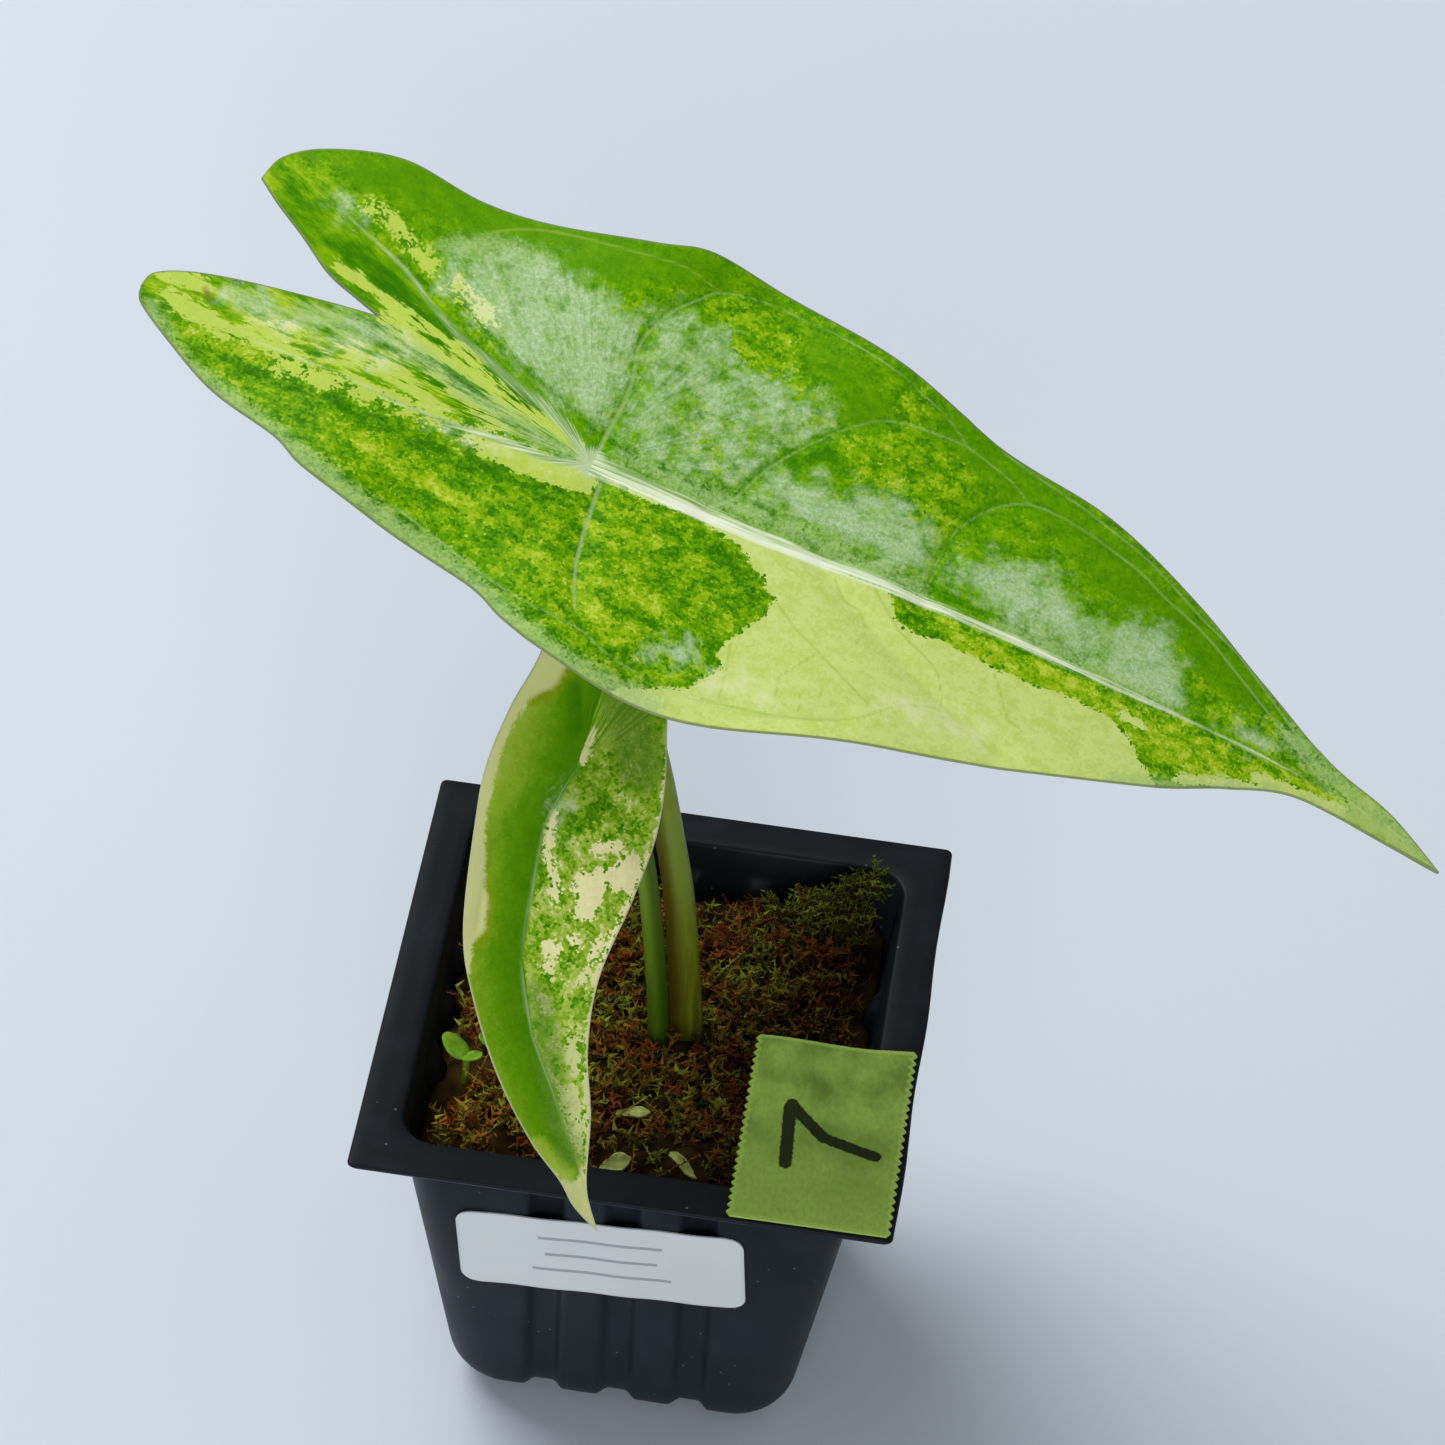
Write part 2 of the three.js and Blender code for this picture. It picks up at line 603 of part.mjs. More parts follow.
// Directions of a leaf: along its midrib, across to the far side, and out of its upper face
function leafAxes({ heading, droop, roll }) {
  const [h, d, r] = [heading * degrees, droop * degrees, roll * degrees];
  const along = new THREE.Vector3(
    Math.cos(d) * Math.cos(h), Math.cos(d) * Math.sin(h), -Math.sin(d),
  );
  const level = new THREE.Vector3(0, 0, 1).cross(along).normalize();
  const up = along.clone().cross(level);
  const across = level.clone().multiplyScalar(Math.cos(r)).addScaledVector(up, Math.sin(r));
  return [along, across, along.clone().cross(across)];
}

function placeLeaf(mesh, leaf) {
  mesh.setRotationFromMatrix(new THREE.Matrix4().makeBasis(...leafAxes(leaf)));
  mesh.position.set(...leaf.hub);
}

// Where a petiole ends: just under the thickened hub of its blade
function underHub(leaf) {
  const out = leafAxes(leaf)[2];
  const depth = leaf.thickness + leaf.ribDepth + 2 * clearance;
  return new THREE.Vector3(...leaf.hub).addScaledVector(out, -depth).toArray();
}

function buildLargePetiole() {
  const stalk = taperedRod({ ...largePetiole, line: [...largePetiole.line, underHub(largeLeaf)] });
  return fromManifold(joined([stalk, taperedRod(sheathWing)]));
}

function buildSmallPetiole() {
  return taperedRod({ ...smallPetiole, line: [...smallPetiole.line, underHub(smallLeaf)] });
}

// Tape and label

// The free corner over the mouth stands up a little, the rest lies flat on the flange
function tapeHeight(x, y) {
  const mouth = pot.rimHalf - pot.flangeWidth;
  const overX = Math.max(0, (mouth - x) / (mouth - tape.left));
  const overY = Math.max(0, (y + mouth) / (tape.back + mouth));
  return tape.lift * smooth(overX) * smooth(overY);
}

function buildTape() {
  const rows = 2 * tape.teeth;
  const points = [];
  const triangles = [];
  for (let j = 0; j <= rows; j += 1) {
    const cut = j % 2 === 0 ? 0 : tape.toothDepth;
    for (let i = 0; i <= tape.columns; i += 1) {
      const s = i / tape.columns;
      const t = j / rows;
      const x = mix(tape.left + cut, tape.right - cut, s);
      const skew = mix(mix(0, tape.frontSkew, s) * -0.1, mix(-0.5, 0.5, s) * tape.backSkew, t);
      const y = mix(tape.front, tape.back, t) + skew;
      points.push([x, y, tapeHeight(x, y)]);
    }
  }
  const width = tape.columns + 1;
  for (let j = 0; j < rows; j += 1) {
    for (let i = 0; i < tape.columns; i += 1) {
      const a = j * width + i;
      triangles.push([a, a + 1, a + width + 1], [a, a + width + 1, a + width]);
    }
  }
  const upper = points.map(([x, y, z]) => [x, y, z + tape.thickness]);
  return thickened(upper, points, triangles);
}

function buildLabel() {
  const [w, h, r] = [0.5 * label.width, 0.5 * label.height, label.corner];
  const outline = new THREE.Shape();
  outline.moveTo(r - w, -h);
  outline.absarc(w - r, r - h, r, -Math.PI / 2, 0, false);
  outline.absarc(w - r, h - r, r, 0, Math.PI / 2, false);
  outline.absarc(r - w, h - r, r, Math.PI / 2, Math.PI, false);
  outline.absarc(r - w, r - h, r, Math.PI, 1.5 * Math.PI, false);
  return new THREE.ExtrudeGeometry(outline, {
    depth: label.thickness, bevelEnabled: false, curveSegments: 5,
  });
}

function placeLabel(mesh) {
  const lean = Math.atan((pot.wallHalfTop - pot.wallHalfBase) / (pot.height - pot.sheet));
  const y = -wallHalf(label.centreZ) - label.seat / Math.cos(lean);
  mesh.rotation.set(90 * degrees + lean, 0, 0);
  mesh.rotateZ(label.turn * degrees);
  mesh.position.set(label.centreX, y, label.centreZ);
}

// Seedlings and scraps

function seedlingLeaf(seedling, heading, size) {
  const blade = new THREE.SphereGeometry(1, 10, 5);
  blade.scale(size, 0.72 * size, 0.36);
  blade.translate(0.8 * size, 0, 0);
  blade.rotateY(-24 * degrees);
  blade.rotateZ(heading * degrees);
  blade.translate(seedling.x, seedling.y, seedling.top);
  return blade;
}

function buildSeedling(seedling) {
  const foot = mossHeight(seedling.x, seedling.y) + clearance;
  const stem = taperedRod({
    line: [[seedling.x, seedling.y, foot], [seedling.x, seedling.y, seedling.top + 0.2]],
    radii: [0.45, 0.4], sides: 6, steps: 2,
  });
  return fromManifold(joined([
    stem,
    seedlingLeaf(seedling, seedling.heading, seedling.leaf),
    seedlingLeaf(seedling, seedling.heading + 165, 0.8 * seedling.leaf),
  ]));
}

// A bent flake that follows the moss under it
function buildScrap(scrap) {
  const [rings, sides] = [5, 10];
  const thickness = 0.6;
  const points = [];
  const triangles = [];
  for (let k = 0; k <= rings; k += 1) {
    for (let i = 0; i < sides; i += 1) {
      const angle = (2 * Math.PI * i) / sides;
      const u = (0.5 * scrap.length * Math.cos(angle) * k) / rings;
      const v = (0.5 * scrap.width * Math.sin(angle) * k) / rings - scrap.bend * (u / 2) ** 2;
      const c = Math.cos(scrap.heading * degrees);
      const s = Math.sin(scrap.heading * degrees);
      points.push([scrap.x + c * u - s * v, scrap.y + s * u + c * v]);
      if (k === 0) break;
    }
  }
  for (let i = 0; i < sides; i += 1) {
    const next = (i + 1) % sides;
    triangles.push([0, 1 + i, 1 + next]);
    for (let k = 0; k < rings - 1; k += 1) {
      const [low, high] = [1 + k * sides, 1 + (k + 1) * sides];
      triangles.push([low + i, high + i, high + next], [low + i, high + next, low + next]);
    }
  }
  const lower = points.map(([x, y]) => [x, y, mossHeight(x, y) + 2 * clearance]);
  const upper = lower.map(([x, y, z]) => [x, y, z + thickness]);
  return thickened(upper, lower, triangles);
}

// Assembly

const plant = new THREE.Group();

function addPiece(name, geometry, colour, roughness) {
  const mesh = new THREE.Mesh(geometry, material(colour, roughness));
  mesh.name = name;
  plant.add(mesh);
  return mesh;
}

addPiece('pot', buildPot(), colours.plastic, 0.45);
addPiece('moss_bed', buildMoss(), colours.moss, 0.95);
addPiece('corm', buildCorm(), colours.corm, 0.8);
addPiece('large_leaf_petiole', buildLargePetiole(), colours.petiole, 0.5);
addPiece('small_leaf_petiole', buildSmallPetiole(), colours.smallPetiole, 0.5);
placeLeaf(addPiece('large_leaf_blade', buildBlade(largeLeaf), colours.leaf, 0.4), largeLeaf);
placeLeaf(addPiece('small_leaf_blade', buildBlade(smallLeaf), colours.smallLeaf, 0.4), smallLeaf);
addPiece('tape_flag', buildTape(), colours.tape, 0.85).position.z = pot.height + tape.seat;
placeLabel(addPiece('label', buildLabel(), colours.label, 0.7));
for (const seedling of seedlings) {
  addPiece(seedling.name, buildSeedling(seedling), colours.seedling, 0.6);
}
for (const scrap of scraps) {
  addPiece(scrap.name, buildScrap(scrap), colours.scrap, 0.8);
}

export default plant;
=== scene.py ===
# %% [markdown]
# # A potted variegated alocasia
# A square nursery pot of damp moss carries a young plant with two arrow-shaped leaves, a flag of
# crepe paper tape and a paper label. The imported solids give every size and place. This lesson
# dresses them: each piece gets a finer mesh of the same form, and a finish that starts from the
# real material.

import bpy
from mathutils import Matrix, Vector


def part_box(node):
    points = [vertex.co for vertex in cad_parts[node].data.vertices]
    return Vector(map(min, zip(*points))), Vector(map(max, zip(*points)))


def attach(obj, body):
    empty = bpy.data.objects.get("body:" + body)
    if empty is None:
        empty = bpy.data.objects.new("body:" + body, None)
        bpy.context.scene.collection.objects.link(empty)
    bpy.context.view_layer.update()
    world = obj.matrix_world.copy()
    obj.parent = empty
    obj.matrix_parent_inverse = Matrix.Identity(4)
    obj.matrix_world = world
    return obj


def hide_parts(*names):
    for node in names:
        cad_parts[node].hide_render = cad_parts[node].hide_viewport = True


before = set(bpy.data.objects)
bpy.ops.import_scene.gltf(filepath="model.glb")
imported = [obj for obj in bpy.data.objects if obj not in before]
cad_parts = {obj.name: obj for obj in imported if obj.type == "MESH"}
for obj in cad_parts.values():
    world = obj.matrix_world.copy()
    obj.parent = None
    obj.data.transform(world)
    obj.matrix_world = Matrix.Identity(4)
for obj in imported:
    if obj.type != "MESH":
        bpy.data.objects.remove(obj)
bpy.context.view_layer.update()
print("solids:", ", ".join(sorted(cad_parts)))

import bmesh
import bpy
import numpy as np
from mathutils import Matrix, Vector, noise

MM = 0.001
scene = bpy.context.scene

# %% [markdown]
# ## Helpers
# Blender stores colours as linear light, while a colour picked by eye is an sRGB hex code, so one
# function turns one into the other. Node trees are long, so one small function adds a node with
# its settings and links. Every mesh is written in millimetres and scaled once, when it is made.


# %% Numbers and colours
def mix(a, b, share):
    """The value that lies at a share of the way from a to b."""
    return a + (b - a) * share


def smooth(x):
    """0 below 0, 1 above 1, and a soft step between them."""
    x = np.clip(x, 0, 1)
    return x * x * (3 - 2 * x)


def bell(distance, width):
    """1 on a line, falling to nothing about two widths from it."""
    return np.exp(-((distance / width) ** 2))


def linear(code):
    """A hex colour as the linear colour that a shader takes."""
    parts = [int(code[i : i + 2], 16) / 255 for i in (1, 3, 5)]
    return (*[c / 12.92 if c < 0.0405 else ((c + 0.055) / 1.055) ** 2.4 for c in parts], 1)


print("mid grey in linear light:", round(linear("#808080")[0], 3))

# %% Nodes and materials
SOFT = {"interpolation_type": "SMOOTHSTEP"}
TIMES = {"operation": "MULTIPLY"}
TIMES_PLUS = {"operation": "MULTIPLY_ADD"}
COLOURS = {"data_type": "RGBA"}


def plug(tree, node, inputs):
    """Each input gets a value, a hex colour, or a link from a socket or a node's first output."""
    for key, value in inputs.items():
        if isinstance(value, bpy.types.Node):
            value = next(socket for socket in value.outputs if socket.enabled)
        if isinstance(value, bpy.types.NodeSocket):
            tree.links.new(value, node.inputs[key])
        elif isinstance(value, str) and value[0] == "#":
            node.inputs[key].default_value = linear(value)
        else:
            node.inputs[key].default_value = value


def add(tree, kind, inputs=None, **settings):
    """Adds a node: a shader node, unless its kind says otherwise."""
    node = tree.nodes.new(kind if "Node" in kind else "ShaderNode" + kind)
    for name, value in settings.items():
        setattr(node, name, value)
    plug(tree, node, inputs or {})
    return node


def start_material(name, **sockets):
    """A new material with its shader, and the sockets that have one value all over."""
    material = bpy.data.materials.new(name)
    material.use_nodes = True
    shader = material.node_tree.nodes["Principled BSDF"]
    plug(material.node_tree, shader, {key.replace("_", " "): sockets[key] for key in sockets})
    return material, material.node_tree, shader


def set_stops(ramp, stops):
    """Gives a colour ramp its places and colours."""
    elements = ramp.color_ramp.elements
    while len(elements) < len(stops):
        elements.new(0.5)
    for element, (place, code) in zip(elements, stops):
        element.position = place
        element.color = linear(code)


print("nodes take hex colours, values and links")


# %% Meshes
SHARP_ANGLE = np.radians(50)


def add_object(name, data):
    thing = bpy.data.objects.new(name, data)
    scene.collection.objects.link(thing)
    return thing


def make_piece(name, points, faces, *materials, kinds=None, crisp=False):
    """A mesh object from points in millimetres, with its faces turned outwards."""
    mesh = bpy.data.meshes.new(name)
    mesh.from_pydata((np.asarray(points, float) * MM).tolist(), [], faces)
    for material in materials:
        mesh.materials.append(material)
    if kinds is not None:
        mesh.polygons.foreach_set("material_index", kinds)
    shape = bmesh.new()
    shape.from_mesh(mesh)
    bmesh.ops.recalc_face_normals(shape, faces=shape.faces)
    shape.to_mesh(mesh)
    shape.free()
    mesh.shade_smooth()
    if crisp:
        mesh.set_sharp_from_angle(angle=SHARP_ANGLE)
    return add_object(name, mesh)


def store(mesh, **fields):
    """Keeps numbers or vectors for each point of a mesh, under their own names."""
    for name, values in fields.items():
        values = np.asarray(values, np.float32)
        kind, field = ("FLOAT", "value") if values.ndim == 1 else ("FLOAT_VECTOR", "vector")
        mesh.attributes.new(name, kind, "POINT").data.foreach_set(field, values.ravel())


def plain_copy(piece):
    """The mesh of a piece as its modifiers leave it."""
    return bpy.data.meshes.new_from_object(
        piece.evaluated_get(bpy.context.evaluated_depsgraph_get())
    )


def keep(piece, slot, *solids):
    """Rides the piece on the one body and hides the solids it stands for. The slot is not used."""
    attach(piece, "root")
    if solids:
        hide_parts(*solids)
    print(f"{piece.name}: {sum(len(face.vertices) - 2 for face in piece.data.polygons)} triangles")


def loft(rings, end=None):
    """Points and faces of a closed skin over rings with equal counts, with a fan at each end."""
    end = rings[-1].mean(0) if end is None else end
    count = len(rings[0])
    here = np.arange(count)
    there = np.roll(here, -1)
    faces = []
    for low in range(0, (len(rings) - 1) * count, count):
        high = low + count
        faces += np.stack([low + here, low + there, high + there, high + here], 1).tolist()
    middle, last = len(rings) * count, (len(rings) - 1) * count
    pairs = np.stack([here, there], 1).tolist()
    faces += [(middle, b, a) for a, b in pairs]
    faces += [(middle + 1, last + a, last + b) for a, b in pairs]
    return np.vstack([*rings, [rings[0].mean(0)], [end]]), faces


def joined(parts):
    """Several closed skins as one list of points and one of faces."""
    shifts = np.cumsum([0] + [len(points) for points, _ in parts]).tolist()
    faces = [[k + i for i in face] for k, (_, part) in zip(shifts, parts) for face in part]
    return np.vstack([points for points, _ in parts]), faces


# %% Smooth lines
def along_line(line, steps, start=0, end=None):
    """Points on the smooth line through the given points, from one of them to another."""
    line = np.array(line, float)
    final = len(line) - 1
    place = np.linspace(start, final if end is None else end, steps + 1)
    i = np.minimum(place.astype(int), final - 1)
    w = (place - i)[:, None]
    before, here, there, after = (line[np.clip(i + k, 0, final)] for k in (-1, 0, 1, 2))
    leave, arrive = (there - before) / 2, (after - here) / 2
    bend = 3 * there - 3 * here - 2 * leave - arrive
    return (2 * here - 2 * there + leave + arrive) * w**3 + bend * w**2 + leave * w + here


def distance_to(places, line, closed=False):
    """Distance from each place to a line of straight pieces, in the plane."""
    line = np.array(line, float)
    best = np.full(len(places), np.inf)
    for a, b in zip(line, np.roll(line, -1, 0) if closed else line[1:]):
        run = b - a
        share = np.clip((places - a) @ run / (run @ run + 1e-12), 0, 1)
        best = np.minimum(best, np.linalg.norm(places - a - share[:, None] * run, axis=1))
    return best


def inside_outline(places, outline):
    """Distance to a closed outline, above zero inside it and below zero outside."""
    odd = np.zeros(len(places), bool)
    for a, b in zip(outline, np.roll(outline, -1, 0)):
        crosses = (a[1] > places[:, 1]) != (b[1] > places[:, 1])
        rise = (places[:, 1] - a[1]) / (b[1] - a[1] + 1e-12)
        odd ^= crosses & (places[:, 0] < a[0] + rise * (b[0] - a[0]))
    return np.where(odd, 1, -1) * distance_to(places, outline, closed=True)


def grid_of(across, along):
    """The two coordinates of every point of a grid, as flat lists."""
    return (g.ravel() for g in np.meshgrid(across, along))


# %% [markdown]
# ## Camera
# The photograph looks down on the plant from the front at about 45 degrees, through a long lens,
# and leans a little. The camera could be aimed by eye. Here it is worked out from the pot's flange,
# which is a level square of a known size, so the solids fall on the photograph. No lens shift is
# needed: the aim point is moved instead.

# %% Camera
VIEW_AZIMUTH, VIEW_ELEVATION, VIEW_LEAN = np.radians([4.52, 44.67, 4.724])
VIEW_DISTANCE = 552 * MM
VIEW_OFFSET = (6.52 * MM, 28.72 * MM)

level = np.cos(VIEW_ELEVATION)
towards_camera = np.array(
    [np.sin(VIEW_AZIMUTH) * level, -np.cos(VIEW_AZIMUTH) * level, np.sin(VIEW_ELEVATION)]
)
level_right = np.cross((0, 0, 1), towards_camera)
level_right /= np.linalg.norm(level_right)
level_up = np.cross(towards_camera, level_right)
picture_right = np.cos(VIEW_LEAN) * level_right + np.sin(VIEW_LEAN) * level_up
picture_up = np.cos(VIEW_LEAN) * level_up - np.sin(VIEW_LEAN) * level_right
camera_place = np.array([0, 0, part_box("pot")[1].z]) + VIEW_DISTANCE * towards_camera
camera_place = camera_place + VIEW_OFFSET[0] * picture_right + VIEW_OFFSET[1] * picture_up
turned = np.eye(4)
turned[:3] = np.column_stack([picture_right, picture_up, towards_camera, camera_place])

camera = add_object("photo_camera", bpy.data.cameras.new("photo_camera"))
camera.data.lens = 133.67
camera.data.sensor_width = 36
camera.data.clip_start = 10 * MM
camera.matrix_world = Matrix(turned.tolist())
scene.camera = camera
print("camera at", [round(x, 3) for x in camera_place])

# %% [markdown]
# ## Floor and light
# The plant stands on a pale bench in a white room: the light is broad, comes from above and leaves
# little shadow. A skylight high up behind the left of the pot lights the leaves and throws the
# soft shadow to the front right, a wide fill from the front keeps the pot's wall and the near half
# of the large leaf from going flat, and the rest is an even world light. The standard view
# transform keeps the leaf greens as they are chosen.

# %% Floor
FLOOR_HALF = 3.0
floor_paint, tree, shader = start_material("matt_bench_paint", Roughness=0.75)
place = add(tree, "TexCoord").outputs["Object"]
drift = add(tree, "TexNoise", {"Vector": place, "Scale": 2.5, "Detail": 2})
colour = add(tree, "Mix", {0: drift, 6: "#D6DFE9", 7: "#DEE6F0"}, **COLOURS)
plug(tree, shader, {"Base Color": colour})
floor_mesh = bpy.data.meshes.new("floor")
corners = [(x * FLOOR_HALF, y * FLOOR_HALF, 0) for x, y in ((-1, -1), (1, -1), (1, 1), (-1, 1))]
floor_mesh.from_pydata(corners, [], [(0, 1, 2, 3)])
floor_mesh.materials.append(floor_paint)
add_object("floor", floor_mesh)
print("floor:", 2 * FLOOR_HALF, "m square")

# %% Lights
scene.view_settings.view_transform = "Standard"
scene.view_settings.look = "Medium High Contrast"
scene.world = bpy.data.worlds.new("white_room")
scene.world.use_nodes = True
sky = scene.world.node_tree
plug(sky, sky.nodes["Background"], {"Color": "#EAEEF3", "Strength": 0.25})
softboxes = {
    "skylight": dict(place=(-0.62, 0.5, 1.12), size=0.95, watts=11.8),
    "front_fill": dict(place=(0.2, -2.1, 0.85), size=1.4, watts=19.5),
}
aim = Vector((0, 0, 0.08))
for name, box in softboxes.items():
    lamp = bpy.data.lights.new(name, "AREA")
    lamp.size = box["size"]
    lamp.energy = box["watts"]
    holder = add_object(name, lamp)
    holder.location = box["place"]
    holder.rotation_euler = (aim - holder.location).to_track_quat("-Z", "Y").to_euler()
    print(name, "at", box["place"])

# %% [markdown]
# ## Nursery pot
# The pot is one thin moulding in black polypropylene: a flat flange round a square mouth, walls
# that taper, and three flutes pressed into each wall that end in rounded shoulders. It could be a
# cube with bevels and loops. A loft of rounded-square rings is surer, because one rule gives every
# ring its size, its corner and its flutes, outside and inside.

# %% The pot's sizes
RIM_HALF, _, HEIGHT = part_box("pot")[1] / MM
SHEET = 0.8
FLOOR_SHEET = 0.9
UNDER_RIM = HEIGHT - SHEET
MOUTH_HALF = RIM_HALF - 4
WALL_HALF = (18, 23.5)
WALL_CORNER = (6.3, 4)
BASE_ROUNDING = 5.4
FLUTE_PITCH = 7.8
FLUTE_WIDTH = 4.4
FLUTE_DEPTH = 1.1
FLUTE_SHOULDERS = (38.5, 41.5, 43)
SHOULDER_SHARE = 0.7


def wall_half(z):
    return mix(*WALL_HALF, z / UNDER_RIM)


def wall_corner(z):
    return mix(*WALL_CORNER, z / UNDER_RIM)


def flute_depth(z):
    """The flutes keep their depth up to the first shoulder, then run out in two steps."""
    fade, shoulder, top = FLUTE_SHOULDERS
    share = mix(1, SHOULDER_SHARE, smooth((z - fade) / (shoulder - fade)))
    return FLUTE_DEPTH * share * (1 - smooth((z - shoulder) / (top - shoulder)))


print("pot height", HEIGHT, "flange half width", RIM_HALF)

# %% Rings of the pot
FLUTE_FIELD = 10.2
FLUTE_POINTS = 61
FLAT_POINTS = 5
CORNER_POINTS = 11
QUARTER_TURN = np.array([[0, 1], [-1, 0]])


def square_ring(z, half, corner, depth=0.0):
    """A rounded square with its flutes pressed inwards, counter-clockwise seen from above."""
    field = np.linspace(-FLUTE_FIELD, FLUTE_FIELD, FLUTE_POINTS)
    gap = np.linspace(FLUTE_FIELD, half - corner, FLAT_POINTS + 1)[1:-1]
    along = np.concatenate([-gap[::-1], field, gap])
    off = np.min([np.abs(along - k * FLUTE_PITCH) for k in (-1, 0, 1)], axis=0) / FLUTE_WIDTH
    side = np.stack([along, depth * (1 - smooth((off - 0.2) / 0.3)) - half], 1)
    turn = np.radians(np.linspace(-90, 0, CORNER_POINTS))
    bend = np.stack([np.cos(turn), np.sin(turn)], 1) * corner + (half - corner, corner - half)
    quarters = [np.vstack([side, bend])]
    for _ in range(3):
        quarters.append(quarters[-1] @ QUARTER_TURN)
    ring = np.vstack(quarters)
    return np.column_stack([ring, np.full(len(ring), z)])


def wall_ring(z, inset=0.0):
    return square_ring(z, wall_half(z) - inset, wall_corner(z) - inset, flute_depth(z))


def base_rings(floor_z, radius, inset):
    """The flat middle of a floor, then the rounding between floor and wall, from the centre out."""
    rounding = []
    for angle in np.linspace(0, 90, 9):
        z = floor_z + radius * (1 - np.cos(np.radians(angle)))
        cut = radius * (1 - np.sin(np.radians(angle)))
        corner = max(0.8, wall_corner(z) - inset - cut)
        depth = flute_depth(z) * smooth(angle / 30)
        rounding.append(square_ring(z, wall_half(z) - inset - cut, corner, depth))
    return [rounding[0] * (share, share, 1) for share in (0.2, 0.4, 0.6, 0.8)] + rounding


print("points in a ring:", len(wall_ring(20)))

# %% Loft the pot
EDGE = 0.28
LIP = 0.45
EDGE_CORNER = 0.7
wall_heights = [*np.linspace(7, FLUTE_SHOULDERS[0], 9), *np.linspace(39.2, 43.4, 10), 44.6]
edge_turns = np.radians([-40, 0, 30, 60, 90])
lip_turns = np.radians([0, 30, 60, 90])
rings = [
    *base_rings(0, BASE_ROUNDING, 0),
    *[wall_ring(z) for z in wall_heights],
    square_ring(UNDER_RIM, wall_half(UNDER_RIM) + 0.3, WALL_CORNER[1]),
    square_ring(UNDER_RIM, RIM_HALF - EDGE, EDGE_CORNER),
    *[
        square_ring(HEIGHT - EDGE * (1 - rise), RIM_HALF - EDGE * (1 - reach), EDGE_CORNER)
        for rise, reach in zip(np.sin(edge_turns), np.cos(edge_turns))
    ],
    square_ring(HEIGHT, RIM_HALF - 1.6, 1.5),
    square_ring(HEIGHT, MOUTH_HALF + 1, 3.2),
    *[
        square_ring(HEIGHT - LIP * (1 - rise), MOUTH_HALF - LIP * cut, WALL_CORNER[1] - LIP * cut)
        for rise, cut in zip(np.cos(lip_turns), np.sin(lip_turns))
    ],
    *[wall_ring(z, SHEET) for z in wall_heights[::-1]],
    *base_rings(FLOOR_SHEET, BASE_ROUNDING - SHEET, SHEET)[::-1],
]
points, faces = loft(rings)

# The right edge of the thin flange isn't quite straight
warp = 0.12 * np.sin(0.3 * points[:, 1] + 0.8) * smooth((points[:, 0] - 24) / 3)
points[:, 0] += warp * (points[:, 2] > UNDER_RIM - 0.1)
print("pot rings:", len(rings))

# %% [markdown]
# ### Black polypropylene
# Moulded polypropylene is a satin black that reflects the sky as a grey-blue film. Its skin has a
# fine spark-eroded grain, and a used pot carries light dust and a few specks. Its wall also turns a
# paler grey-blue towards the foot. A dark base with a middling roughness gives the satin, and the
# dust and the paler foot are one thin second colour.

# %% Black moulded polypropylene
satin_black = dict(Specular_IOR_Level=0.14)
black_plastic, tree, shader = start_material("black_moulded_polypropylene", **satin_black)
place = add(tree, "TexCoord").outputs["Object"]
GRAIN, DUST, SPECK = (1 / (size * MM) for size in (0.12, 9, 2.2))
grain = add(tree, "TexNoise", {"Vector": place, "Scale": GRAIN, "Detail": 2})
dust = add(tree, "TexNoise", {"Vector": place, "Scale": DUST, "Detail": 5, "Roughness": 0.6})
film = add(tree, "MapRange", {"Value": dust, 1: 0.45, 2: 0.75, 4: 0.35}, **SOFT)
# The wall turns a paler grey-blue towards the foot
height = add(tree, "SeparateXYZ", {"Vector": place}).outputs["Z"]
paler_towards_foot = add(tree, "MapRange", {"Value": height, 1: 20 * MM, 2: 46 * MM, 3: 0.6, 4: 0})
film = add(tree, "Math", {0: film, 1: paler_towards_foot})
cells = add(tree, "TexVoronoi", {"Vector": place, "Scale": SPECK})
specks = add(tree, "MapRange", {"Value": cells, 1: 0.045, 2: 0.075, 3: 0.6, 4: 0}, **SOFT)
colour = "#1F2328"
for mask, layer in ((film, "#343A43"), (specks, "#7A828A")):
    colour = add(tree, "Mix", {0: mask, 6: colour, 7: layer}, **COLOURS)
satin = add(tree, "MapRange", {"Value": dust, 1: 0.3, 2: 0.7, 3: 0.34, 4: 0.5})
skin = add(tree, "Bump", {"Strength": 0.15, "Distance": 0.03 * MM, "Height": grain})
plug(tree, shader, {"Base Color": colour, "Roughness": satin, "Normal": skin})

# %% Cut the drain holes
DRAIN_RADIUS = 2.4
DRAIN_OFFSET = 8
pot = make_piece("pot_moulding", points, faces, black_plastic, crisp=True)
drills = bmesh.new()
size = dict(radius1=DRAIN_RADIUS * MM, radius2=DRAIN_RADIUS * MM, depth=4 * FLOOR_SHEET * MM)
for x, y in ((-1, -1), (-1, 1), (1, -1), (1, 1)):
    spot = Matrix.Translation((x * DRAIN_OFFSET * MM, y * DRAIN_OFFSET * MM, 0))
    bmesh.ops.create_cone(drills, cap_ends=True, segments=32, matrix=spot, **size)
drill = add_object("drills", bpy.data.meshes.new("drills"))
drills.to_mesh(drill.data)
drills.free()
cut = pot.modifiers.new("Drains", "BOOLEAN")
cut.operation = "DIFFERENCE"
cut.object = drill
drilled = plain_copy(pot)
pot.modifiers.remove(cut)
pot.data = drilled
bpy.data.objects.remove(drill)
keep(pot, "pot_plastic", "pot")
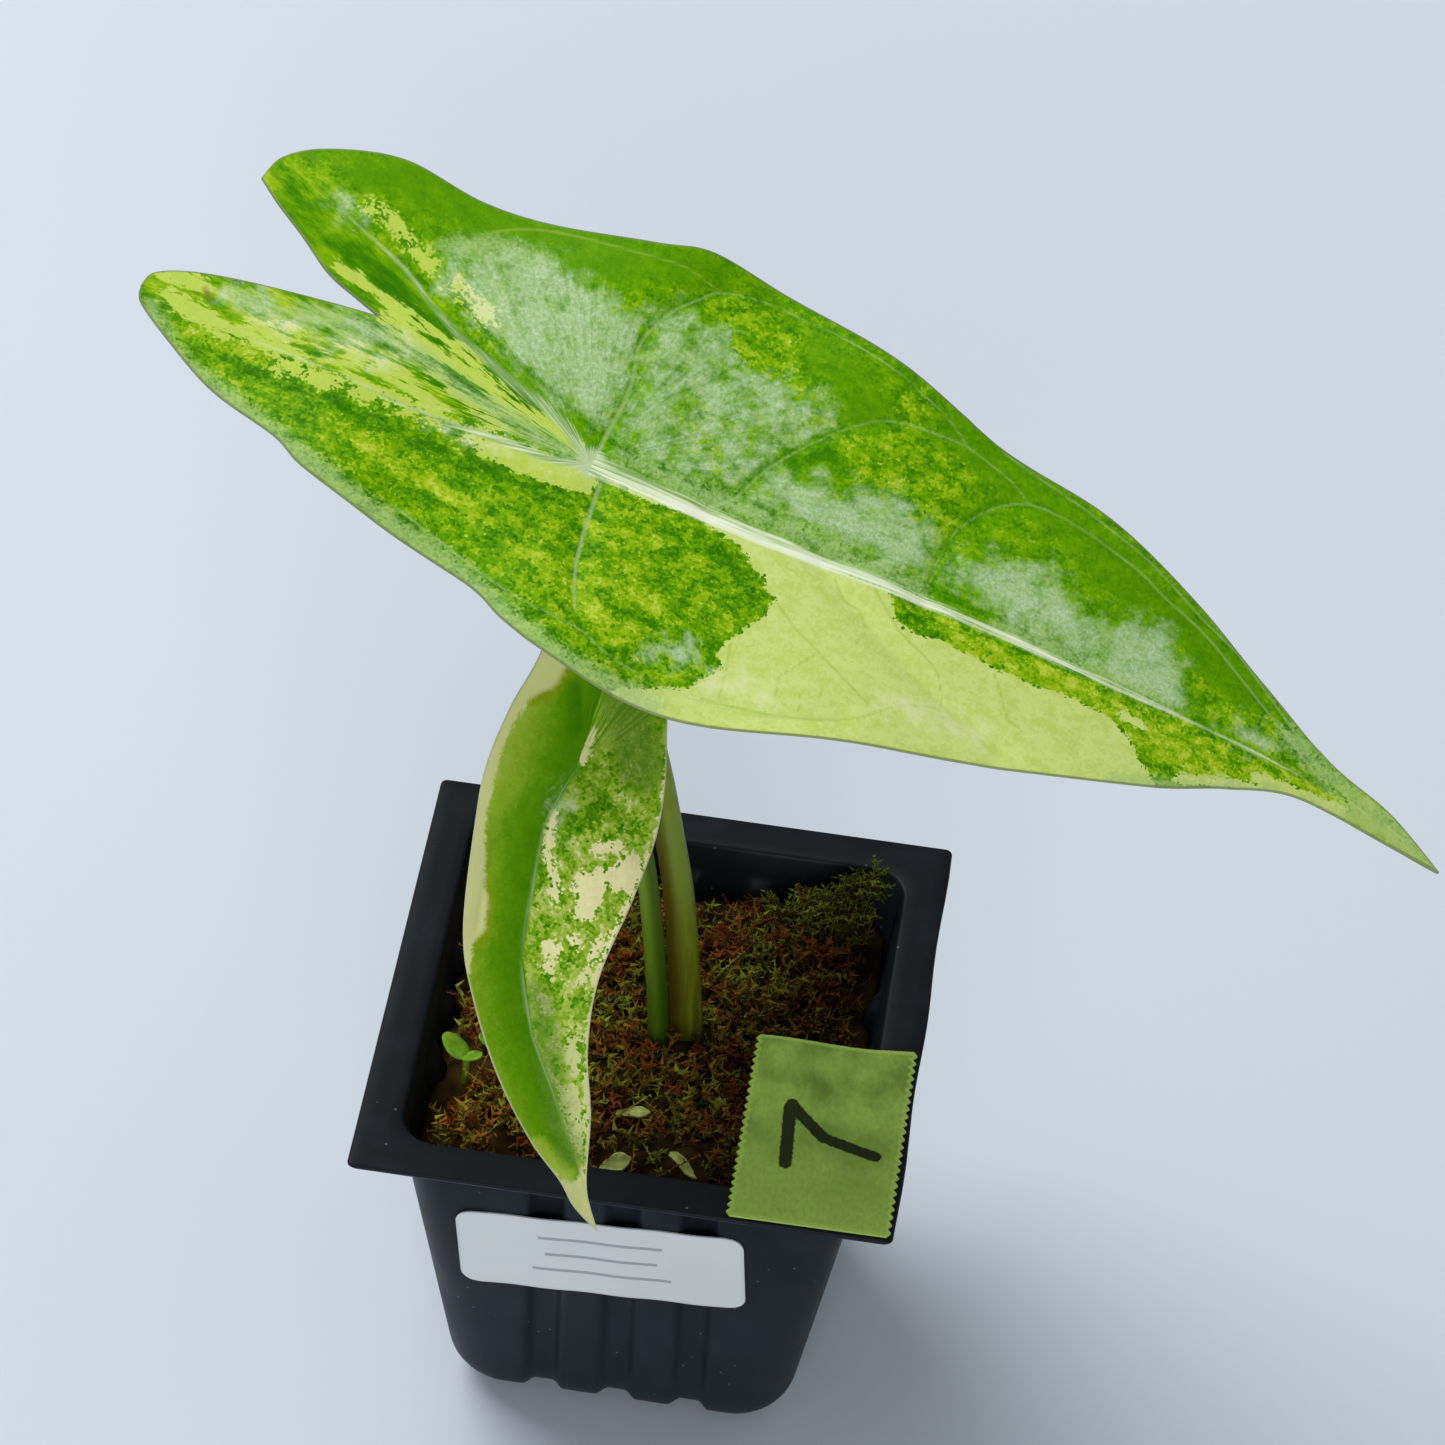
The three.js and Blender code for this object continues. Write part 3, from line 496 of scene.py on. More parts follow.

# %% [markdown]
# ## Bed of moss
# Long-fibred moss fills the pot to about 5 mm under the flange: brown and rust strands, with olive
# and green tips. Painted light makes them paler at the left, and painted shade darker at the right.
# It could be a rough lump with a bumpy texture, but at this distance the strands themselves show.
# So a closed bed with real humps carries the weight of the form, and Geometry Nodes grow small
# leafy shoots all over it. Moss is soft, so what would reach through the pot's wall is pressed back
# inside it.

# %% Height of the bed
MOSS_TOP = 40.6
MOSS_EDGE = 39.4
CORM = (2, 0.4)
SEEDLINGS = {
    "seedling_left": dict(place=(-18.6, -8.8), top=43.6, leaf=1.75, heading=160),
    "seedling_right": dict(place=(-15.9, -6.6), top=43.3, leaf=1.45, heading=20),
}
SCRAPS = {
    "scrap_crescent": dict(place=(-1, -11.2), length=3.6, width=1.5, heading=12, bend=0.5),
    "scrap_front_left": dict(place=(-1.6, -18.4), length=3.2, width=1.7, heading=20, bend=0.3),
    "scrap_sliver": dict(place=(5.2, -17.4), length=3.8, width=0.9, heading=-38, bend=0.1),
    "scrap_front_right": dict(place=(7.3, -20.1), length=2.4, width=1.3, heading=-10, bend=0.2),
}
kept_free = [(*CORM, 3.4)]
kept_free += [(*seedling["place"], 1.6) for seedling in SEEDLINGS.values()]
kept_free += [(*scrap["place"], 0.5 * scrap["length"] + 0.5) for scrap in SCRAPS.values()]


def near_wall(x, y, start, run):
    """0 in the middle of the pot, 1 along its walls."""
    return smooth((np.maximum(np.abs(x), np.abs(y)) - start) / run)


def plain_height(x, y):
    """Soft humps, lower along the walls, as in the solid."""
    humps = 0.7 * np.sin(0.33 * x + 1.1) * np.cos(0.29 * y - 0.4)
    humps = humps + 0.4 * np.sin(0.8 * x + 0.6 * y) + 0.3 * np.sin(1.3 * x - 1.1 * y + 2)
    return mix(MOSS_TOP + humps, MOSS_EDGE, near_wall(x, y, 15, 6))


def free_share(x, y):
    """0 on the spots that the moss leaves free, 1 away from them."""
    share = np.ones(len(x))
    for spot_x, spot_y, radius in kept_free:
        share = share * smooth((np.hypot(x - spot_x, y - spot_y) - radius) / 1.5)
    return share


def clumps(x, y, size, seed):
    """Soft random lumps of a given size in millimetres, from -1 to 1."""
    spots = np.stack([x / size, y / size, np.full(len(x), seed)], 1)
    return np.array([noise.noise(Vector(spot)) for spot in spots])


def bed_height(x, y):
    rough = 0.9 * clumps(x, y, 5, 3) + 0.6 * clumps(x, y, 2, 7) + 0.3 * clumps(x, y, 0.8, 9)
    return plain_height(x, y) + rough * free_share(x, y)


print("free spots:", len(kept_free))


# %% Moss material
def moss_material(name, stops):
    """Dried and living moss: matt cell walls with a weak sheen, and a tint for each shoot."""
    material, tree, shader = start_material(name, Roughness=0.85, Specular_IOR_Level=0.1)
    place = add(tree, "TexCoord").outputs["Object"]
    tint = add(tree, "Attribute", attribute_name="tint").outputs["Fac"]
    patch = add(tree, "TexNoise", {"Vector": place, "Scale": 1 / (6 * MM), "Detail": 3})
    mixed = add(tree, "Math", {0: tint, 1: 0.55, 2: patch}, **TIMES_PLUS)
    shifted = add(tree, "Math", {0: mixed, 1: 0.27}, operation="SUBTRACT")
    ramp = add(tree, "ValToRGB", {"Fac": shifted})
    set_stops(ramp, stops)
    # Painted light and shade: the moss is brighter at the left and darker at the right
    across = add(tree, "SeparateXYZ", {"Vector": place}).outputs["X"]
    painted_light_across = add(tree, "MapRange", {"Value": across, 1: -20 * MM, 2: 18 * MM, 3: 2.2, 4: 0.6})
    colour = {0: 1, 6: ramp, 7: painted_light_across}
    colour = add(tree, "Mix", colour, blend_type="MULTIPLY", **COLOURS)
    plug(tree, shader, {"Base Color": colour})
    return material


moss_floor = moss_material("damp_moss_bed", [(0.2, "#1E150A"), (0.5, "#382812"), (0.8, "#463A1A")])
moss_shoot = moss_material(
    "sphagnum_shoots",
    [(0.12, "#4A2610"), (0.32, "#74431C"), (0.5, "#735A24"), (0.68, "#6C6426"), (0.9, "#7E8434")],
)
moss_green = moss_material(
    "green_moss_tips", [(0.2, "#4A4A18"), (0.5, "#626A22"), (0.8, "#808C36")]
)
print("moss finishes: 3")

# %% Closed bed
BED_INSET = SHEET + 0.3
BED_BOTTOM = 1.4
TOP_RINGS = 44
heights = (6, FLUTE_SHOULDERS[0], MOSS_EDGE)
bed_rings = [square_ring(BED_BOTTOM, 13.2, 1.5), *[wall_ring(z, BED_INSET) for z in heights]]
edge_ring = bed_rings[-1]
for k in range(1, TOP_RINGS):
    share = 1 - k / TOP_RINGS
    ring = edge_ring * (share, share, 1)
    ring[:, 2] = mix(MOSS_EDGE, bed_height(ring[:, 0], ring[:, 1]), smooth(k / 4))
    bed_rings.append(ring)
points, faces = loft(bed_rings, end=(0, 0, float(bed_height(*np.zeros((2, 1)))[0])))
bed = make_piece("moss_bed_mass", points, faces, moss_floor)
store(bed.data, tint=0.5 + 0.5 * clumps(points[:, 0], points[:, 1], 1.5, 21))
keep(bed, "moss", "moss_bed")

# %% [markdown]
# ### Shoots of moss
# One shoot is a bent stem with narrow leaflets set round it, about 50 faces. The tree scatters
# points over a ground mesh, stands a shoot on each, turns and sizes it at random, and keeps a
# random tint for its colour. The same tree makes the upright tufts, the long lying strands and
# the feathery sprig in the back corner, from other numbers.

# %% Tree for the shoots
SHOOT_INPUTS = {
    "Ground": "Geometry", "Density": "Float", "Seed": "Int", "Length": "Float", "Reach": "Float",
    "Rise": "Float", "Stem": "Float", "Leaflets": "Int", "Leaflet": "Float", "Moss": "Material",
}
GOLDEN_TURN = np.radians(137.5)
LEAFLET_TILT = np.radians(55)
SIZE_SEED, TINT_SEED = 5, 9

shoots = bpy.data.node_groups.new("Moss shoots", "GeometryNodeTree")
for label, kind in SHOOT_INPUTS.items():
    shoots.interface.new_socket(label, in_out="INPUT", socket_type="NodeSocket" + kind)
shoots.interface.new_socket("Shoots", in_out="OUTPUT", socket_type="NodeSocketGeometry")
given = add(shoots, "NodeGroupInput").outputs

# One stem of length 1, bent over towards its reach
halfway = add(shoots, "Math", {0: given["Rise"], 1: 0.62}, **TIMES)
middle = add(shoots, "CombineXYZ", {"Z": halfway})
tip = add(shoots, "CombineXYZ", {"X": given["Reach"], "Z": given["Rise"]})
bow = {"Resolution": 4, "Start": (0, 0, -0.1), "Middle": middle, "End": tip}
stem_line = add(shoots, "GeometryNodeCurveQuadraticBezier", bow)
profile = {"Resolution": 3, "Radius": given["Stem"]}
profile = add(shoots, "GeometryNodeCurvePrimitiveCircle", profile)
along = add(shoots, "GeometryNodeSplineParameter").outputs["Factor"]
taper = add(shoots, "MapRange", {"Value": along, 3: 1, 4: 0.4})
stem = {"Curve": stem_line, "Profile Curve": profile, "Scale": taper}
stem = add(shoots, "GeometryNodeCurveToMesh", stem)

# Leaflets wind up the stem, each a golden turn on from the last
radius = add(shoots, "Math", {0: given["Leaflet"], 1: 0.24}, **TIMES)
cone = {"Vertices": 3, "Radius Bottom": radius, "Depth": given["Leaflet"]}
leaflet = add(shoots, "GeometryNodeMeshCone", cone, fill_type="NONE")
spread = {"Curve": stem_line, "Count": given["Leaflets"]}
spread = add(shoots, "GeometryNodeResampleCurve", spread)
index = add(shoots, "GeometryNodeInputIndex")
spin = add(shoots, "Math", {0: index, 1: GOLDEN_TURN}, **TIMES)
lean = add(shoots, "CombineXYZ", {"Y": LEAFLET_TILT, "Z": spin})
lean = add(shoots, "FunctionNodeEulerToRotation", {"Euler": lean})
leaflets = {"Points": spread, "Instance": leaflet, "Rotation": lean}
leaflets = add(shoots, "GeometryNodeInstanceOnPoints", leaflets)
one_shoot = add(shoots, "GeometryNodeJoinGeometry", {"Geometry": stem})
plug(shoots, one_shoot, {"Geometry": leaflets})
one_shoot = add(shoots, "GeometryNodeRealizeInstances", {"Geometry": one_shoot})

# Scatter it over the ground, thickest where the ground's own "grow" value is high
grow = add(shoots, "GeometryNodeInputNamedAttribute", {"Name": "grow"})
density = add(shoots, "Math", {0: given["Density"], 1: grow}, **TIMES)
spots = {"Mesh": given["Ground"], "Density": density, "Seed": given["Seed"]}
spots = add(shoots, "GeometryNodeDistributePointsOnFaces", spots)
turn = {0: (-0.5, -0.5, -3.14), 1: (0.5, 0.5, 3.14), "Seed": given["Seed"]}
turn = add(shoots, "FunctionNodeRandomValue", turn, data_type="FLOAT_VECTOR")
turn = add(shoots, "FunctionNodeEulerToRotation", {"Euler": turn})
turn = {"Rotation": spots.outputs["Rotation"], "Rotate By": turn}
turn = add(shoots, "FunctionNodeRotateRotation", turn, rotation_space="LOCAL")
size = add(shoots, "FunctionNodeRandomValue", {2: 0.55, 3: 1.25, "Seed": SIZE_SEED})
size = add(shoots, "Math", {0: size, 1: given["Length"]}, **TIMES)
scattered = {"Points": spots, "Instance": one_shoot, "Rotation": turn, "Scale": size}
scattered = add(shoots, "GeometryNodeInstanceOnPoints", scattered)
tint = add(shoots, "FunctionNodeRandomValue", {2: 0, 3: 1, "Seed": TINT_SEED})
tinted = {"Geometry": scattered, "Name": "tint", "Value": tint}
tinted = add(shoots, "GeometryNodeStoreNamedAttribute", tinted, domain="INSTANCE")
real = add(shoots, "GeometryNodeRealizeInstances", {"Geometry": tinted})
coated = add(shoots, "GeometryNodeSetMaterial", {"Geometry": real, "Material": given["Moss"]})
add(shoots, "NodeGroupOutput", {"Shoots": coated})
print("shoot tree nodes:", len(shoots.nodes))


# %% Grow the shoots
WALL_GAP = 0.4
PRESSED_SHARE = 0.05


def press_inside(mesh):
    """Shoots that would pass through the pot's wall lie against it instead."""
    spots = np.empty(3 * len(mesh.vertices), np.float32)
    mesh.vertices.foreach_get("co", spots)
    spots = spots.reshape(-1, 3)
    z = spots[:, 2] / MM
    half = (wall_half(z) - SHEET - flute_depth(z) - WALL_GAP)[:, None]
    core = half - (wall_corner(z) - SHEET)[:, None]
    side = spots[:, :2] / MM
    out = side - np.clip(side, -core, core)
    reach = np.linalg.norm(out, axis=1, keepdims=True)
    room = half - core
    pressed = np.minimum(reach, room + PRESSED_SHARE * (reach - room))
    spots[:, :2] += (out * (pressed / np.maximum(reach, 1e-6) - 1)) * MM
    mesh.vertices.foreach_set("co", spots.ravel())
    mesh.update()


def grow_piece(name, ground, **settings):
    """Runs the tree over a ground mesh, and keeps the result as a plain mesh."""
    piece = add_object(name, ground)
    modifier = piece.modifiers.new("Shoots", "NODES")
    modifier.node_group = shoots
    for item in shoots.interface.items_tree:
        if item.name in settings:
            modifier[item.identifier] = settings[item.name]
    grown = plain_copy(piece)
    piece.modifiers.remove(modifier)
    press_inside(grown)
    piece.data = grown
    keep(piece, "moss")


def ground_mesh(name, weight):
    """A grid over the top of the bed, with the share of shoots that each place gets."""
    half, step = 20.6, 0.8
    axis = np.arange(-half, half + step / 2, step)
    x, y = grid_of(axis, axis)
    n = len(axis)
    corner = (np.arange(n - 1)[:, None] * n + np.arange(n - 1)).ravel()
    faces = np.stack([corner, corner + 1, corner + n + 1, corner + n], 1)
    mesh = bpy.data.meshes.new(name)
    points = np.column_stack([x, y, bed_height(x, y)])
    mesh.from_pydata((points * MM).tolist(), [], faces.tolist())
    store(mesh, grow=weight(x, y) * free_share(x, y))
    return mesh


def everywhere(x, y):
    """Thick in clumps, thin in the dark gaps along the walls."""
    return (1 - 0.7 * near_wall(x, y, 17, 3)) * smooth(0.75 + 1.2 * clumps(x, y, 4, 31))


def green_patches(x, y):
    return smooth(0.1 + 2.2 * clumps(x, y, 7, 41)) * smooth((20 - np.abs(x)) / 3)


grow_piece(
    "moss_tufts", ground_mesh("tuft_ground", everywhere), Density=1.3e6, Seed=3, Length=3.2 * MM,
    Reach=0.45, Rise=0.8, Stem=0.06, Leaflets=8, Leaflet=0.32, Moss=moss_shoot,
)
grow_piece(
    "moss_strands", ground_mesh("strand_ground", everywhere), Density=5e5, Seed=8, Length=5.2 * MM,
    Reach=0.95, Rise=0.42, Stem=0.022, Leaflets=16, Leaflet=0.1, Moss=moss_shoot,
)
grow_piece(
    "green_moss_tufts", ground_mesh("green_ground", green_patches), Density=6e5, Seed=14,
    Length=2.6 * MM, Reach=0.45, Rise=0.8, Stem=0.05, Leaflets=9, Leaflet=0.34, Moss=moss_green,
)

# %% Sprig in the back corner
SPRIG_STEMS = [
    [(11.5, 13.5, 39), (13.5, 16, 42.6), (16.4, 18.6, 45.6), (20.2, 20.3, 48.2)],
    [(12, 14.5, 40.5), (11, 17, 42.8), (9.4, 19, 43.6)],
    [(15, 17.3, 43.6), (17.8, 17, 45), (20, 17.4, 45.6)],
    [(14, 16.4, 42.8), (13.4, 18.8, 44.2), (13, 20, 44.8)],
    [(16.5, 18.6, 45.6), (18.6, 18.8, 47), (20.8, 18.6, 47.8)],
]


def tube(line, radii, sides, steps, oval=1.0):
    """Points and faces of a round or oval rod along a smooth line."""
    centre = along_line(line, steps)
    ahead = np.gradient(centre, axis=0)
    ahead /= np.linalg.norm(ahead, axis=1)[:, None]
    side = np.cross(ahead[0], (0, 1, 0))
    turn = 2 * np.pi * np.arange(sides) / sides
    rings = []
    for k in range(steps + 1):
        side = side - (side @ ahead[k]) * ahead[k]
        side /= np.linalg.norm(side)
        other = np.cross(ahead[k], side)
        radius = np.interp(k / steps, np.linspace(0, 1, len(radii)), radii)
        flat = np.cos(turn)[:, None] * side + oval * np.sin(turn)[:, None] * other
        rings.append(centre[k] + radius * flat)
    return loft(rings)


points, faces = joined([tube(line, [0.9, 0.4], sides=6, steps=10) for line in SPRIG_STEMS])
sprig = make_piece("moss_sprig_stems", points, faces, moss_floor)
store(sprig.data, tint=np.full(len(points), 0.7), grow=np.ones(len(points)))
grow_piece(
    "moss_sprig_leaflets", sprig.data.copy(), Density=3.4e6, Seed=21, Length=1.5 * MM, Reach=0.5,
    Rise=0.75, Stem=0.07, Leaflets=6, Leaflet=0.4, Moss=moss_green,
)
keep(sprig, "moss")

# %% [markdown]
# ## Leaf blades
# An arrow-shaped blade folds along its midrib, its margins curl down and ripple, and two rear
# lobes hang behind the petiole. Subdivision modelling would lose the fine margin. The blade is
# drawn flat in millimetres instead: u runs from the hub to the tip and v across it, and a line is
# written as its u and v in turn. A fine grid fills each half between its inner line and its margin,
# and one formula lifts it, the same as in the solids.

# %% Drawing of the large leaf
LARGE = dict(
    hub=(-11, 7.5, 112), heading=-7.3, droop=17.9, roll=20, length=91, rear=46, arch=4,
    rear_droop=0.5, fold=(0.25, 0.25), shoulder=(0, 0), recurve=1.8, half_width=22,
    wave_height=0.7, wave_length=27, groove_depth=0.3, groove_width=1.7, rib_depth=0.9,
    rib_width=1.2, rib_half=1.05, basal_half=0.5, rows=(86, 56, 286), columns=76, under_columns=20,
    breaks=((5, 9), (4, 7)),
    rear_line=[-24.3, 6, -12, 2.6, 0, 0],
    midrib=[0, 0, 16, -0.4, 33, 0.3, 53.5, 0.9, 67, 1.5, 80.5, 1.9, 91, 0],
    inner=[
        [-46, -0.8, -45.4, 1.1, -42.2, 2.8, -36.6, 4.2, -29.2, 5.4, -24.3, 6],
        [-40.3, 14.7, -37.7, 12.8, -34.3, 10.7, -30.5, 8.2, -27.3, 7, -24.3, 6],
    ],
    margin=[
        [-46, -0.8, -45.2, -2.6, -41, -5.5, -35.4, -8.6, -28.3, -10.9, -24.3, -13.1, -16, -15.5,
         -6, -17.8, -1.6, -20.1, 2.9, -21.7, 10.8, -23, 19.6, -21.9, 33.5, -17.4, 49, -12.3, 60.8,
         -7.5, 67.8, -3.6, 74.6, -0.6, 83.8, -0.2, 91, 0],
        [-40.3, 14.7, -39.3, 17.6, -35.6, 20, -28.5, 21.7, -20.1, 20.7, -12.5, 21.1, -3.3, 22.7,
         2.6, 24.3, 10.8, 23.5, 22.8, 21.1, 35.2, 17.7, 47, 15.8, 58.5, 12.2, 68, 8.1, 76.7, 4.5,
         84.4, 2.8, 91, 0],
    ],
    basal_veins=[
        [0, 0, -3.5, -1.4, -8.5, -1.7, -16.8, -2.4, -26, -2, -34.8, -1.8, -43, -0.6],
        [0, 0, -4.6, 2.9, -10.1, 4.7, -14.8, 6.4, -20.1, 8.8, -24.1, 11.3, -36, 16],
    ],
    lateral_veins=[
        [0.2, 0.4, 0.2, 3.2, 0.4, 6, 0.2, 9, -0.6, 12.6, 0, 14.8, 1, 17, 2.8, 19.2, 4.4, 20.8, 9,
         22, 16.4, 21.4, 23, 20, 29.4, 17.8, 32.4, 16],
        [12.1, 0.6, 13.8, 2.4, 15, 5.2, 16.8, 8.2, 19.4, 11.4, 22.4, 14.2, 25, 15.4, 29, 16, 32.2,
         16.2, 35.8, 15.4, 37.6, 14.8, 39.7, 13.6],
        [34.2, 0.4, 34.2, 7.9, 39.7, 13.6, 50.4, 12.6, 55.2, 11.2, 60.4, 9.8, 65, 7.8, 69.4, 5.8,
         73.8, 3.8, 77.8, 2], [1.6, -1.6, 2, -7, 2.7, -12, 4.2, -16.3],
        [-15.5, -12.9, -10.7, -14.3, -5, -16.2, -0.8, -17.4, 5.3, -18.1, 9.7, -19.5, 17.3, -19.7,
         24.2, -18.7, 30.9, -15.8],
    ],
    hidden_veins=[[24, -1, 36, -8, 46, -11.5]],
    faint_veins=[
        [32.6, 19, 35.6, 17.4, 40.2, 16.4, 44.2, 15.6, 47.6, 14.8, 53.2, 13.4, 59.2, 11.2, 64.2,
         9.6, 69.4, 7, 73.8, 4.8],
    ],
    fine_veins=[
        [-21, 12.4, -19.4, 16, -17.4, 18.4, -14, 20, -10.2, 20.6, -4.4, 21, 0.4, 21.4, 4.4, 20.8],
        [29, -0.2, 31.2, -2.4, 33.4, -4.2, 35.6, -5.2, 38, -6.8, 40, -11.2],
        [25.6, -1.4, 27.2, -3.2, 28.8, -3.6, 30, -5.6, 29.4, -8],
        [21.2, -6.6, 23.6, -8.4, 26.6, -10, 30, -11.8, 32.8, -13.2],
        [26.4, -10.6, 24.8, -13.2, 24.2, -14.6, 24.8, -17.4], [18.8, -13, 19.4, -16, 19.8, -18.6],
        [42.8, -3.8, 44.2, -5.6, 45.6, -7.8, 47, -8.2], [26.6, -15.2, 27, -16.8],
        [28.2, -13.6, 28.6, -15.6],
        [18.2, -19.4, 22, -18.8, 26.6, -17.8, 31.8, -15.4, 35.6, -11.8, 38.8, -10.2],
    ],
)
print("large leaf:", LARGE["length"] + LARGE["rear"], "mm long")

# %% Drawing of the small leaf
SMALL = dict(
    hub=(-8.75, -10, 88), heading=-74.5, droop=47.6, roll=0, length=44.7, rear=20, arch=3,
    rear_droop=-3, fold=(0.5, 0.7), shoulder=(0.012, 0.033), recurve=0.6, half_width=11,
    wave_height=0.4, wave_length=17, groove_depth=0.2, groove_width=1.2, rib_depth=0.6,
    rib_width=0.8, rib_half=0.12, basal_half=-0.15, rows=(56, 44, 190), columns=62,
    under_columns=16, breaks=((2, 5), (2, 4)),
    rear_line=[-11, 4.4, -6, 2.4, 0, 0],
    midrib=[
        0, 0, 1.8, -1.3, 5, -3.3, 9.4, -4.5, 17.3, -6.3, 24.8, -5.7, 32.7, -3.3, 38.8, -1.6, 44.7,
        0,
    ],
    inner=[
        [-19.5, 1.5, -18.6, 3.2, -14.6, 4.4, -11, 4.4], [-18.5, 8.5, -17.3, 7, -14, 5.6, -11, 4.4],
    ],
    margin=[
        [-19.5, 1.5, -18.6, -0.2, -11.6, -2.9, -6.6, -6.1, -1.1, -8.9, 3.8, -10.2, 14.3, -12, 21,
         -11.4, 28.7, -9.3, 35.1, -6.4, 39.2, -3.7, 42, -2.3, 44.7, 0],
        [-18.5, 8.5, -17.3, 10, -12, 10.4, -5.3, 9, 1.5, 8.2, 6.7, 7, 12.2, 4.4, 19.4, 0.8, 26.2,
         -0.6, 33, -0.5, 39.5, -1, 42.5, -0.6, 44.7, 0],
    ],
    basal_veins=[[0, 0, -5, -1.5, -12, -1, -18, 1.5], [0, 0, -4, 3.4, -10, 7.4, -16.5, 8.6]],
    lateral_veins=[],
    hidden_veins=[[1, 1, 4, 4, 8, 5], [2, -3, 6, -8, 14, -10.5]],
    faint_veins=[],
    fine_veins=[[1, 1, 4, 4, 8, 5]],
)
print("small leaf:", SMALL["length"] + SMALL["rear"], "mm long")


# %% Points of the drawings
def as_points(rows):
    """A row of numbers, u and v in turn, as points, or a list of such rows."""
    if not rows or isinstance(rows[0], list):
        return [as_points(row) for row in rows]
    return np.array(rows, float).reshape(-1, 2)


for leaf in (LARGE, SMALL):
    leaf.update({key: as_points(rows) for key, rows in leaf.items() if isinstance(rows, list)})
print("points on the large midrib:", len(LARGE["midrib"]))
